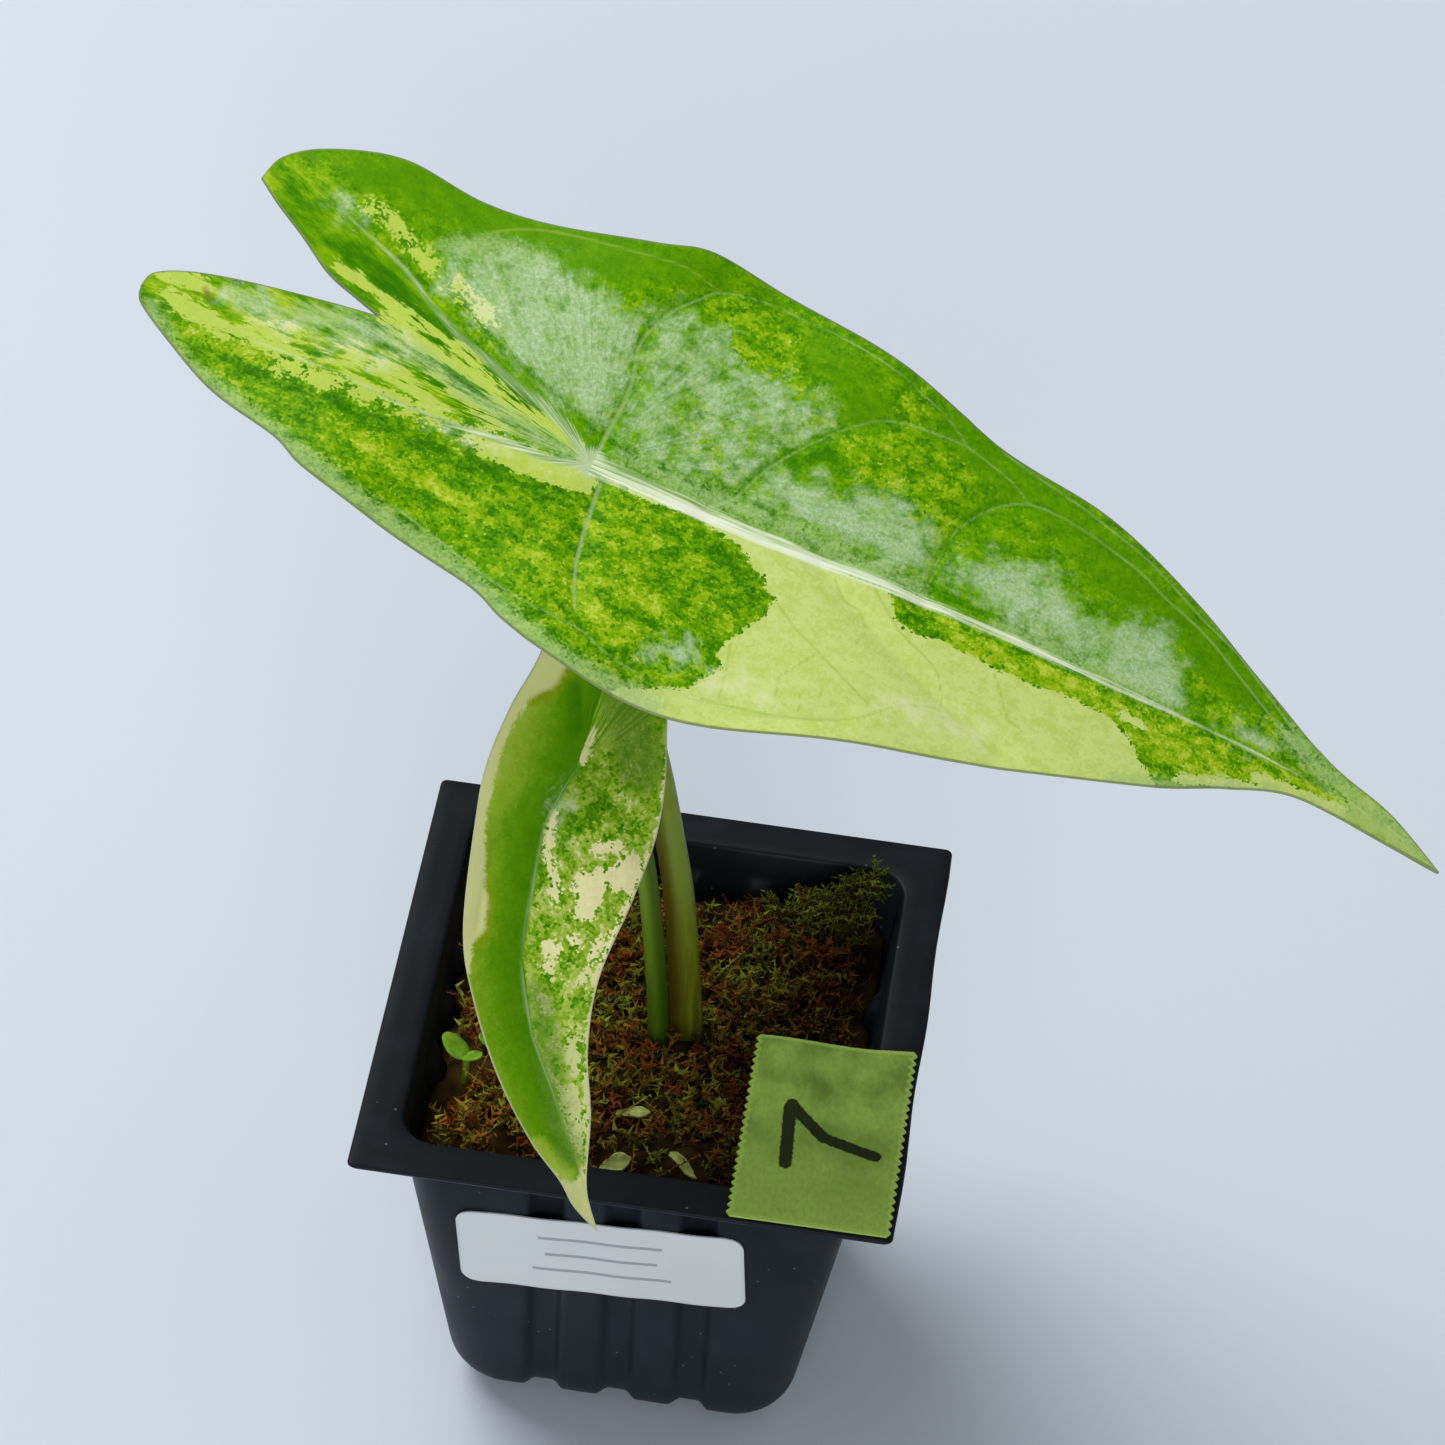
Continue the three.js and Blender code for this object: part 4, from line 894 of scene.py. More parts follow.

# %% [markdown]
# ### Pattern of the variegation
# The leaf is a chimera: some cell layers lack chlorophyll. Where all of them do, the blade is
# cream or pale yellow with a crisp, jagged edge. Where only some do, it is speckled, and where an
# inner layer lacks it the blade is grey-green with a whitish bloom. That bloom is partly this
# variegation and partly a painted sheen, and its strokes on the pale sector and on the small
# leaf's ridge are painted glints. An image texture would fix this at one resolution, so each kind
# of patch is drawn as a few outlines, and as strokes that start with their half width. The
# distance to the edge of each patch goes to the points, and the material breaks that edge up with
# noise. Values in pairs are for the near and for the far half.

# %% Patches on the large leaf
LARGE.update(
    pale_outlines=[
        [9.1, -0.1, 11.4, -1, 16, -2.2, 19.5, -4.8, 21, -6.5, 20.5, -9.3, 17.9, -13.6, 18.8, -16.1,
         16.8, -18.9, 10, -22.6, 11, -24, 20, -23, 33.7, -18.6, 49.2, -13.4, 61.8, -7.6, 58.4, -5,
         57.4, -3.7, 55, -2.7, 51.1, -2.4, 48, -2.9, 45.5, -3.2, 38.6, -3.2, 36.9, -2.9, 34.6,
         -3.6, 32.3, -3, 30.5, -0.2, 23.5, -0.2, 15.3, -0.1],
        [-12, -1.6, -6.5, -1.3, -1, -0.6, 1.4, -1.6, 1, -3.2, -1.5, -4.1, -4, -4.2, -7.6, -4.4,
         -12, -3.2],
    ],
    pale=[
        [1, -44.4, 1.8, -43, 1.8, -41.6, 1.8], [1, -42.8, -0.9, -41.2, -1.1, -39.2, -1.3],
        [0.55, -37, -2.4, -35.4, -2], [0.7, -33.4, -1.6, -31.6, -1.2, -29, -1],
        [0.8, -30.2, -3, -28.8, -2.8, -25.8, -2.8, -23, -2.2, -20, -2, -15, -1.6],
        [0.7, -25.2, 0.4, -22.4, 0.8, -19.4, 0.4, -17.8, -0.4],
        [0.5, -35, -0.6, -31, -0.4, -27, -0.6],
        [0.45, -29.4, 15.8, -27, 15.2, -24.4, 13.8, -22, 12.6],
        [0.4, -19, 11.6, -17, 10.6, -14.6, 9.4],
        [0.6, -23.8, 6.2, -20, 5.6, -16.6, 4.8, -10.6, 3.1, -4, 1.7, -1.8, 1.1],
        [0.45, -24.4, 8, -22.6, 7.4, -18.4, 6.2, -14, 5],
        [0.3, -29.4, 8.9, -28.2, 8.8, -26.6, 8.1], [0.5, -16.8, 2.2, -13, 0.8, -9.4, -0.1],
        [0.5, 56, -1.6, 58, -1.7], [0.5, 4.6, -0.9, 9, -0.9],
        [0.6, 70.5, -0.8, 75, -0.1, 79.5, 0.6], [0.5, 63, -5.4, 68, -2.9, 73, -1, 78, -0.2],
    ],
    # Whitish bloom zones on the far half: partly variegation, partly painted sheen
    bloom_outlines=[
        [-20, 11.4, -19, 14.4, -14.1, 16.8, -11, 17, -7.2, 15.6, -3.6, 15, -1.2, 14.6, -0.7, 11.3,
         -0.2, 7.9, -0.2, 4.4, -1.2, 3.6, -3, 3.9, -6.2, 4.9, -10.4, 6.5, -14.8, 8.3],
        [15, 3.2, 16, 5.4, 19, 6.4, 22, 6.4, 25.6, 7.6, 28.4, 8, 31.2, 7.2, 32.6, 6.4, 32.8, 3.6,
         31, 2.6, 28, 2.6, 24, 2.7, 19.8, 2.9, 16.8, 2.8],
        [36.4, 5.6, 39.2, 7.2, 43.9, 8.4, 47.2, 6.4, 49.6, 5.2, 53.2, 7, 56, 8, 57.6, 7.2, 59, 5.6,
         60.2, 3.6, 61.4, 2, 58.8, 1.8, 54.6, 1.6, 50.8, 2, 47.8, 2.2, 39, 2.8, 35.8, 3.2],
    ],
    # Bloom strokes, partly painted sheen; those on the pale sector are painted glints
    bloom=[
        [0.6, 2, 4.6, 2.2, 9, 2.6, 15.6], [0.3, -33, 15, -30, 14],
        [0.4, 8.6, 10.4, 11.4, 13.2, 15, 13.6],
        [0.9, -38, 2.2, -36, 2.2, -34.4, 2, -33.2, 1.6, -31.6, 1.2],
        [0.7, -29, 1.6, -26, 1.4, -22, 1.6], [0.5, -27.4, 4.9, -24, 4.2, -21.2, 3.6],
        [0.8, 12.5, -16.8, 15, -16], [0.7, 19.4, -17.4, 21.2, -17, 23.6, -16.8],
        [0.5, 33.8, -12.6, 36, -11.8, 38, -11.4], [0.8, 39.6, -11.3, 41.2, -11, 43.4, -10.8],
        [0.4, 66, 2.6, 70, 3],
    ],
    haze_outlines=[
        [1.4, 3.4, 1.1, 8.2, 0.3, 13.2, 0.6, 16.2, 2.6, 17.4, 6.2, 16.4, 9.2, 14.2, 12.2, 14, 15.2,
         14, 19, 13.4, 18.4, 11.4, 15.4, 7.6, 13.2, 3.8, 11, 3, 7.4, 2.9, 3.8, 3],
    ],
    haze=[[0.8, -0.8, -0.6, -3.5, -1.6, -8.5, -2, -14.8, -2.6]],
    veil=[
        [1.1, -44.4, -3, -41.4, -6, -38.6, -7.6, -35.6, -8.6, -30.8, -10.2, -25.2, -12.2, -19.6,
         -14, -14, -15.2, -9.6, -16.2, -5, -18, 0, -20.4, 4.4, -21.8, 9, -22.4, 14, -22],
        [0.7, 2.4, 1.9, 6.2, 1.6, 10.2, 1.4, 14.2, 1.6, 20.6, 1.3, 27, 1.1, 33.4, 1.2],
        [0.6, 42, 1.5, 52, 1.8, 60, 2],
        [0.8, -23, 4.4, -19.4, 3.6, -15.8, 2.6, -12.2, 1.7, -6.6, 0.7, -2.6, 0],
        [0.9, -30.8, 3.2, -27.2, 3.4, -24, 3], [0.9, -21, 15, -17.4, 16.8, -12, 17],
        [0.9, 72, 4.8, 76, 3.6, 82, 2.2], [1.7, 81, 1.6, 85, 1.2, 90, 0.2],
        [0.5, 57, -9.2, 62, -6.6, 67, -3.8, 72, -1.8, 76, -0.8, 82, -0.2],
    ],
    light_outlines=[
        [3.6, 19.6, 5.4, 20.8, 7.8, 21.6, 10.8, 20.6, 13.6, 19.4, 15.6, 18, 16.4, 15.4, 15, 14.4,
         12.8, 15, 10.4, 14.6, 8.4, 14.8, 6.6, 17.8, 4.6, 18.4],
        [20.8, 11.8, 23, 13.6, 25.8, 14.4, 29, 13.8, 32.2, 15, 33.4, 13.2, 32.4, 10.6, 30.8, 8.8,
         28.2, 8.6, 25.8, 8, 23, 8.8, 21.8, 10.4],
        [23.8, 17.8, 25.8, 19.4, 27.2, 17.8, 27, 16.2, 24.6, 16],
        [-7.6, 15.8, -4.4, 16, -3.2, 18, -2, 18.4, -1.6, 15.6, -3.6, 15.2, -6.6, 14.6],
    ],
    light=[
        [0.9, 8, 8, 10, 6, 12, 5], [0.7, 16.4, 11.4, 18.4, 13], [0.8, 30, 7, 33.4, 8.6],
        [1.3, -29, 14.4, -25, 13.4, -21.6, 12.2], [1, -17.6, 12.6, -15, 12.2, -13, 11],
        [0.8, 61, 6.4, 62.6, 5.6], [1.5, 64.5, 4.6, 69, 3.6, 75, 2.4],
        [1.6, -40, 15.6, -37.2, 16.4, -33.2, 16.6, -29.5, 16.8],
        [1.5, -31, 15, -27, 14.2, -22.8, 13, -18, 10.4, -13, 8.2],
        [0.8, -25.4, 7.8, -18.5, 5.4, -10, 3, -4, 1.4], [0.8, 2, -6.4, 5, -7.2, 8.4, -6.4],
        [1, 4, -11.6, 8, -11.4, 11, -12.6], [1.1, -2, -12, 4, -15, 9, -17],
        [0.9, -22, -8, -14, -9, -8, -10.4], [1.3, 37, -1.6, 42, -2, 52, -1.6, 60, -1.2, 68, -0.6],
        [1.4, 58, -3.4, 64, -2.6, 72, -0.6], [1.5, 74, 2.4, 79, 1.6, 85, 0.8, 91, 0],
        [2, -44, 0.4, -38, 0.2, -33, 0, -27, -0.8, -20, -0.8, -15, -1], [1, -39, -3, -33, -3.4],
        [1.3, -38, 2, -30, 2.6, -22, 1.4], [0.8, 9, 5.6, 11, 4.6, 12.8, 4.8],
    ],
    calm=[
        [1.6, -31, 19, -28.4, 20, -20.2, 19.6, -11.8, 19.4, -3.6, 20.6, 3, 22.4],
        [1.2, -20, 17.6, -12, 18, -4, 19], [1.6, 16, 18.6, 20.3, 17.6, 21.6, 15],
        [1.6, 31, 17.4, 38.6, 15, 45.8, 12.8, 53.1, 10.4, 60.4, 8.6, 66, 6.8],
        [1.2, 48, 10.8, 56, 8.2],
    ],
    deep=[
        [0.2, 2, 1.8, 9, 1.3, 16, 1, 24, 1.2, 33, 1.5, 40, 1.7],
        [1, -31.2, 11.4, -26.4, 9.9, -21.4, 8.2, -16.4, 6.4, -11.6, 4.6, -6.8, 2.8],
        [0.2, -0.8, 3, -5.4, 4.9, -10.2, 6.6, -14, 8.2, -18, 10.2],
        [0.3, 0.8, 2.8, 4, 2.2, 8.4, 2.1, 11.4, 2.2, 13.2, 3], [0.1, 13.2, 3, 14.4, 5.4, 17, 9],
        [0.1, 3.2, 7.8, 5, 9.8, 7.8, 12.6, 11, 13.6], [0.05, -9, 12, -7, 10, -4, 9],
        [0.05, 24, 4.4, 28, 4.6, 31, 5],
        [0.1, 14.6, 2.4, 20, 2.4, 25.4, 2.2, 30.6, 2.1, 36, 2, 41.4, 1.9, 50, 1.8],
        [0.6, 17.4, 7.4, 20, 9.6, 22, 8.2], [0.1, 34.6, 3, 35, 6],
        [1.2, 12.4, -3.6, 16.6, -4.6, 18.8, -6.2],
        [0.9, -25, -5.2, -17.8, -5.4, -13.6, -5.8, -7.6, -5.4, -1, -5],
        [0.8, -35.2, -5, -29, -5.2], [0.35, -22, 4.6, -16, 3, -10, 1.6], [0.9, 34, -2.2, 36.6, -2],
    ],
    mark=[[0.12, -40.3, 1.5, -39.6, 0.7]],
    tone=(0.385, 0.38), edge_tone=(0, 0), unevenness=(1, 0.9), quiet=(1, 0.6), islands=(-5, -5),
    crispness=(1.8, 1.3), wedge=(-6, 27), streaks=(0.1, 0.35), cream=(-2, 6), near_cream=1,
)
STROKES = ("pale", "bloom", "veil", "light", "calm", "deep")
print("large leaf:", sum(len(LARGE[key]) for key in STROKES), "strokes")

# %% Patches on the small leaf, which is smooth on the near half and flecked on the far one
SMALL.update(
    pale_outlines=[
        [9.7, -0.7, 9.7, 1.7, 8.7, 3.2, 7.9, 4.2, 8.3, 4.8, 9.2, 5.3, 8.5, 6.1, 7.7, 7, 8.9, 6.5,
         10, 5.6, 10.9, 4.8, 11.9, 4, 11.3, 3.5, 11.2, 2.3, 10.7, 1.9, 11.5, 1.2, 12.3, 1, 13.6,
         0.8, 14.2, -0.3, 13.9, -0.8, 13.2, -1, 11.8, -0.8, 11, -1.5, 10.4, -1],
        [-9.6, -0.5, -8.5, -1.1, -7.9, -1.9, -7.6, -2.9, -7.1, -4, -6.2, -5, -5.1, -5.8, -3.9,
         -6.5, -2.5, -7.2, -1.1, -7.8, 0.7, -8.3, 3.1, -8.9, 5.5, -9.4, 7.8, -9.6, 9.8, -9.5, 11.2,
         -9.3, 13.1, -9.5, 14.5, -9.8, 15.8, -11.1, 18.6, -11.8, 15, -13, 8, -12.4, 0, -10.4, -5,
         -8.4, -9, -6, -20, -2, -19.5, 0.4],
        [25.1, -2.7, 25, -1.9, 25.1, -1.4, 26.9, -1.5, 28.9, -1.7, 28.6, -2.3, 27.4, -2.6],
        [30.1, -2.7, 29.9, -2.2, 30.2, -1.8, 32.4, -1.3, 33.9, -1.2, 35.4, -1.2, 36.9, -1.4, 36.3,
         -1.9, 34.1, -2.7, 32.5, -3.1, 31.1, -3.5, 29.7, -3.6],
        [37.6, -5, 38.9, -3.6, 39.4, -2.6, 39.1, -1.8, 38.6, -0.6, 45, 0.8, 45, -1],
    ],
    pale=[
        [0.45, 7.3, 1.4, 7, 2.1, 7.2, 3.2], [0.8, 10, 1.6, 12, 0.4],
        [0.5, 9.2, 6.4, 11.2, 5.2, 13.7, 3.8, 16, 2.3, 17.9, 1.3],
        [0.25, 17.9, 1.3, 20.2, 0.5, 22.6, -0.2, 26.5, -0.6, 32.4, -0.7, 38.6, -1],
        [0.2, -0.8, 8.4, 2.1, 8.2, 5, 7.7, 7.7, 7], [0.55, 16.3, -3.9, 16.8, -3.3],
        [0.35, 15.9, -1.8, 16.4, -1.3], [0.25, 18.2, -4.2, 19.6, -3.6],
        [0.28, 21.5, -4.6, 22.5, -4.2],
        [0.3, 3.8, -2.5, 5.5, -3, 7.3, -3.4, 8.5, -3.3, 10.2, -2.9, 12, -2.8],
        [0.25, -0.7, 0.6, -2.1, 1.4, -3.8, 2.1], [0.2, 16, 0.8, 18, 0, 20, -0.8],
    ],
    # This bloom and haze stroke is a painted glint on the ridge
    bloom=[[0.35, 2.4, -1.5, 3.4, -2, 4.7, -2.1]],
    haze=[[0.35, 2.4, -1.5, 3.4, -2, 4.7, -2.1]],
    veil=[[2, -12, 4.4, -8, 5, -4, 5.6, 0, 6], [1, 21, -5, 25, -4.4, 29, -4, 33, -3.4, 37, -2.2]],
    light=[
        [0.6, 2.8, 3, 1.4, 3.9, 0.2, 4.6, 2.4, 4.3], [0.5, -1, 2.5, -2.6, 3.5, -3.8, 4],
        [0.9, -9, 5, -6, 6], [1.4, 6, 6, 8, 3.4, 7, 0.6, 10, -2.4],
        [1.6, 12, -3.4, 17, -3, 20, -1.6, 15, 0.6], [1, 24, -2.8, 29, -2.8, 34, -2.4],
        [0.8, 35.5, -5.6, 37.4, -4.2, 38.6, -3],
    ],
    calm=[[0.3, 0, 0, -8, -0.4]],
    deep=[
        [0.9, 6, -1.4, 4.6, -0.4, 4, 1, 3.9, 2.6],
        [0.3, 10.4, -2.4, 11.4, -2.3, 12.8, -1.8, 14.5, -1], [0.7, -8, 0.2, -4, 0],
    ],
    mark=[
        [0.3, -9.6, -0.4, -8.3, -1.2, -7.7, -2, -7.4, -2.9, -6.9, -4],
        [0.2, 9.8, -9.3, 11.2, -9.1, 13.1, -9.3, 14.5, -9.6, 15.8, -10.6],
    ],
    tone=(0.28, 0.5), edge_tone=(0.045, 0), unevenness=(0.12, 1), quiet=(1, 0.8),
    islands=(-5, -1.1), crispness=(0.35, 1), wedge=(5, 60), streaks=(0, 0.1), cream=(22, -6),
    near_cream=0.3,
)
print("small leaf:", sum(len(SMALL[key]) for key in STROKES), "strokes")


# %% Lift of a blade
WAVE_PHASES = (0.6, 2.4)
THIN = 0.35
FINE_GROOVE, FINE_WIDTH = 0.08, 0.35
LATERAL_RIB, LATERAL_WIDTH = 0.18, 0.6


def crease_at(leaf, u):
    """v of the crease: the midrib in front of the hub, the line to the sinus behind it."""
    return np.interp(u, *np.vstack([leaf["rear_line"], leaf["midrib"][1:]]).T)


def shares_at(leaf, u):
    """How far a place lies towards the tip, and towards the ends of the lobes."""
    return np.clip(u / leaf["length"], 0, 1), np.clip(-u / leaf["rear"], 0, 1)


def smooth_lines(lines):
    return [along_line(line, 6 * (len(line) - 1)) for line in lines]


def nearest(places, lines):
    """Distance from each place to the nearest of several lines."""
    return np.min([distance_to(places, line) for line in lines], axis=0, initial=9)


def lift_at(leaf, places):
    """Height over the flat drawing: arch, fold, recurved margins, waves and sunken veins."""
    u, v = places.T
    ahead, behind = shares_at(leaf, u)
    side = v - crease_at(leaf, u)
    near = side < 0
    front_arch = leaf["arch"] * np.sin(np.pi * ahead)
    rear_arch = leaf["arch"] * np.pi * u / leaf["length"] - leaf["rear_droop"] * behind**2
    crease = np.sqrt(side**2 + leaf["rib_width"] ** 2) - leaf["rib_width"]
    fold = np.where(near, *leaf["fold"]) * crease - np.where(near, *leaf["shoulder"]) * side**2
    phase = 2 * np.pi * u / leaf["wave_length"] + np.where(near, *WAVE_PHASES)
    edge = (np.abs(side) / leaf["half_width"]) ** 2
    lines = leaf["lateral_veins"] + leaf["faint_veins"] + leaf["hidden_veins"]
    veins = nearest(places, smooth_lines(lines))
    sunken = leaf["groove_depth"] * bell(veins, leaf["groove_width"])
    sunken = sunken + FINE_GROOVE * bell(veins, FINE_WIDTH)
    lift = np.where(u >= 0, front_arch, rear_arch) + fold * (1 - 0.3 * ahead - 0.45 * behind)
    waves = leaf["wave_height"] * edge * np.sin(phase)
    return lift - leaf["recurve"] * edge**1.5 + waves - sunken


def depth_at(leaf, places):
    """Thickness: thin at the margin, thick along the midrib and the veins of the lobes."""
    u = places[:, 0]
    ahead, behind = shares_at(leaf, u)
    midrib = bell(nearest(places, smooth_lines([leaf["midrib"]])), leaf["rib_width"])
    basal = bell(nearest(places, smooth_lines(leaf["basal_veins"])), leaf["rib_width"])
    rib = np.maximum(midrib * (1 - 0.7 * ahead), (u < 0) * basal * (1 - 0.6 * behind))
    lateral = nearest(places, smooth_lines(leaf["lateral_veins"] + leaf["hidden_veins"]))
    return THIN + leaf["rib_depth"] * rib + LATERAL_RIB * bell(lateral, LATERAL_WIDTH)


print("lift at the hub:", lift_at(LARGE, np.zeros((1, 2))).round(2))


# %% Grid of a blade
FINER_INWARDS = 1.15


def blade_grid(leaf):
    """Places in the flat drawing, faces, each face's kind, and which points lie underneath."""
    lobe, rear, front = leaf["rows"]
    last = lobe + rear + front
    places, under, faces, kinds = [], [], [], []
    start = 0
    middle = {}

    def add_quads(corners, kind):
        for quad in np.stack([corner.ravel() for corner in corners], 1).tolist():
            face = list(dict.fromkeys(quad))
            if len(face) > 2:
                faces.append(face)
                kinds.append(kind)

    for half in (0, 1):
        inner, margin, breaks = (leaf[key][half] for key in ("inner", "margin", "breaks"))
        inside = np.vstack([
            along_line(inner, lobe), along_line(leaf["rear_line"], rear)[1:],
            along_line(leaf["midrib"], front)[1:],
        ])
        outside = np.vstack([
            along_line(margin, lobe, 0, breaks[0]), along_line(margin, rear, *breaks)[1:],
            along_line(margin, front, breaks[1])[1:],
        ])
        edges = []
        for kind, columns in enumerate((leaf["columns"], leaf["under_columns"])):
            share = (np.arange(columns + 1) / columns) ** FINER_INWARDS
            grid = inside[:, None] + (outside - inside)[:, None] * share[None, :, None]
            index = start + np.arange(grid.shape[0] * grid.shape[1]).reshape(grid.shape[:2])
            start += index.size
            places.append(grid.reshape(-1, 2))
            under.append(np.full(index.size, kind == 1))
            # The midrib's points are shared by the halves, and each lobe ends in one point
            if half == 0:
                middle[kind] = index
            else:
                index[lobe:, 0] = middle[kind][lobe:, 0]
            index[0, :] = index[0, 0]
            index[last, :] = middle[kind][last, 0]
            corners = [index[:-1, :-1], index[1:, :-1], index[1:, 1:], index[:-1, 1:]]
            if half == kind:
                corners[1], corners[3] = corners[3], corners[1]
            add_quads(corners, kind)
            edges.append(index)
        upper, lower = edges
        add_quads((upper[:-1, -1], upper[1:, -1], lower[1:, -1], lower[:-1, -1]), 0)
        before, after = slice(0, lobe), slice(1, lobe + 1)
        add_quads((upper[after, 0], upper[before, 0], lower[before, 0], lower[after, 0]), 0)
    places, under = np.vstack(places), np.concatenate(under)
    used = np.unique(np.concatenate([np.array(face) for face in faces]))
    renumber = np.zeros(len(places), int)
    renumber[used] = np.arange(len(used))
    faces = [renumber[face].tolist() for face in faces]
    return places[used], faces, kinds, under[used]


print("rows of the large blade:", sum(LARGE["rows"]))


# %% Place of a blade, and the fields that its material reads
def leaf_axes(leaf):
    """Directions along the midrib, across to the far side, and out of the upper face."""
    h, d, r = np.radians([leaf["heading"], leaf["droop"], leaf["roll"]])
    along = np.array([np.cos(d) * np.cos(h), np.cos(d) * np.sin(h), -np.sin(d)])
    level = np.cross((0, 0, 1), along)
    level /= np.linalg.norm(level)
    across = level * np.cos(r) + np.cross(along, level) * np.sin(r)
    return along, across, np.cross(along, across)


def leaf_fields(leaf, places):
    """The numbers that the skin's material reads at each point."""
    u, v = places.T
    side = v - crease_at(leaf, u)
    ahead, behind = shares_at(leaf, u)
    near = side < 0

    def of_half(key):
        return np.where(near, *leaf[key])

    def patch(key):
        """Distance inside the nearest edge of a kind of patch, in millimetres."""
        inside = [half - distance_to(places, as_points(line)) for half, *line in leaf[key]]
        for outline in leaf.get(key + "_outlines", []):
            inside.append(inside_outline(places, as_points(outline)))
        return np.clip(np.max(inside, axis=0), -5, 5)

    midrib = leaf["rib_half"] * (1 - ahead) ** 1.7 - 0.12 * smooth(3 * ahead - 1.6)
    midrib = midrib - nearest(places, smooth_lines([leaf["midrib"]]))
    basal = leaf["basal_half"] * (1 - 0.7 * behind) - 0.3 * smooth(2 * behind - 0.2)
    basal = basal - nearest(places, smooth_lines(leaf["basal_veins"]))
    hub = 0.9 * leaf["rib_half"] - 0.6 * np.hypot(u, v)
    rib = np.clip(np.max([midrib, basal, hub], axis=0), -3, 3)
    veins = nearest(places, smooth_lines(leaf["lateral_veins"] + leaf["faint_veins"]))
    margins = [along_line(line, 8 * len(line)) for line in leaf["margin"] + leaf["inner"]]

    calm = smooth((patch("calm") + 1.4) / 2)
    light = patch("light") - 3 * calm
    deep = smooth((patch("deep") + 0.3) / 0.6)
    # Bloom with its faint haze: partly whitish variegation, partly painted sheen and glints
    bloom = np.maximum(np.minimum(patch("bloom"), 1.4), np.minimum(patch("haze"), 0.3))
    busy = mix(of_half("quiet"), 1, smooth((light + 1) / 1.5))
    tone = of_half("tone") + of_half("edge_tone") * np.abs(side)
    tone = tone - 0.15 * deep - 0.05 * bell(veins, 0.6)
    tone = tone + 0.15 * near * smooth((light + 0.6) / 1.2) + 0.16 * smooth(10 * ahead - 8)
    pale = np.maximum(patch("pale"), of_half("islands"))

    # Behind the hub the pattern fans out round it
    around, away = np.arctan2(v, -u), np.hypot(u, v)
    across = np.where(u > 0, side, 9 * around)
    degrees, (low, high) = np.degrees(around), leaf["wedge"]
    wedge = smooth((degrees - low) / 4) * smooth((high - degrees) / 4)
    start, run = leaf["cream"]
    # Painted shade: each rib is darker on its far side and lighter on its near side
    core = 0.2 * np.clip(-side / leaf["rib_half"], -1, 1) * smooth(u / 3)
    core = core - np.where(near, 0.06, 0.16) * smooth((-u - 0.5) / 3)
    nothing = np.zeros(len(u))
    return dict(
        flow=np.column_stack([0.2 * away, 22 * around, nothing]),
        strand=np.column_stack([0.12 * away, 3.2 * across, nothing]),
        core=core - 0.1 * smooth((9 - away) / 7) - 0.1 * smooth(3 * behind),
        pale=pale * mix(0.4, of_half("crispness"), smooth((u + 10) / 4)),
        cream=smooth((u - start) / run) * np.where(near, leaf["near_cream"], 1),
        bloom=bloom - deep - bell(veins, 0.3) - bell(rib, 0.6),
        veil=patch("veil"),
        light=light,
        tone=np.clip(mix(tone, 0.35, 0.7 * calm), 0, 1),
        rough=of_half("unevenness") * (1 - 0.5 * calm) * busy,
        streaky=np.maximum(wedge, of_half("streaks")) * smooth((1 - u) / 6),
        mark=patch("mark"),
        rib=rib,
        vein=np.clip(veins + 0.12 * smooth((away - 8) / 14), 0, 3),
        net=np.clip(nearest(places, smooth_lines(leaf["fine_veins"])), 0, 3),
        rim=np.clip(nearest(places, margins), 0, 4),
    )


at_hub = leaf_fields(LARGE, np.zeros((1, 2)))
FIELDS = [key for key, values in at_hub.items() if values.ndim == 1]
print("fields:", ", ".join(FIELDS))

# %% [markdown]
# ### Leaf skin
# The upper skin is smooth, waxy and firm: a soft gloss over colour that lies in the cells under
# it. So the colour is built in layers, deepest first: greens, specks, pale patches, the whitish
# bloom and its haze with their painted sheen and glints, the ribs with painted shade on their far
# side, the thin veins and the rim. The specks follow small groups of cells, about 0.26 mm across.

# %% Waxy upper skin
MOTTLE, CELLS, STREAK, GRAIN, CLOUD = (1 / size for size in (1.5, 0.26, 1.2, 0.4, 2.4))


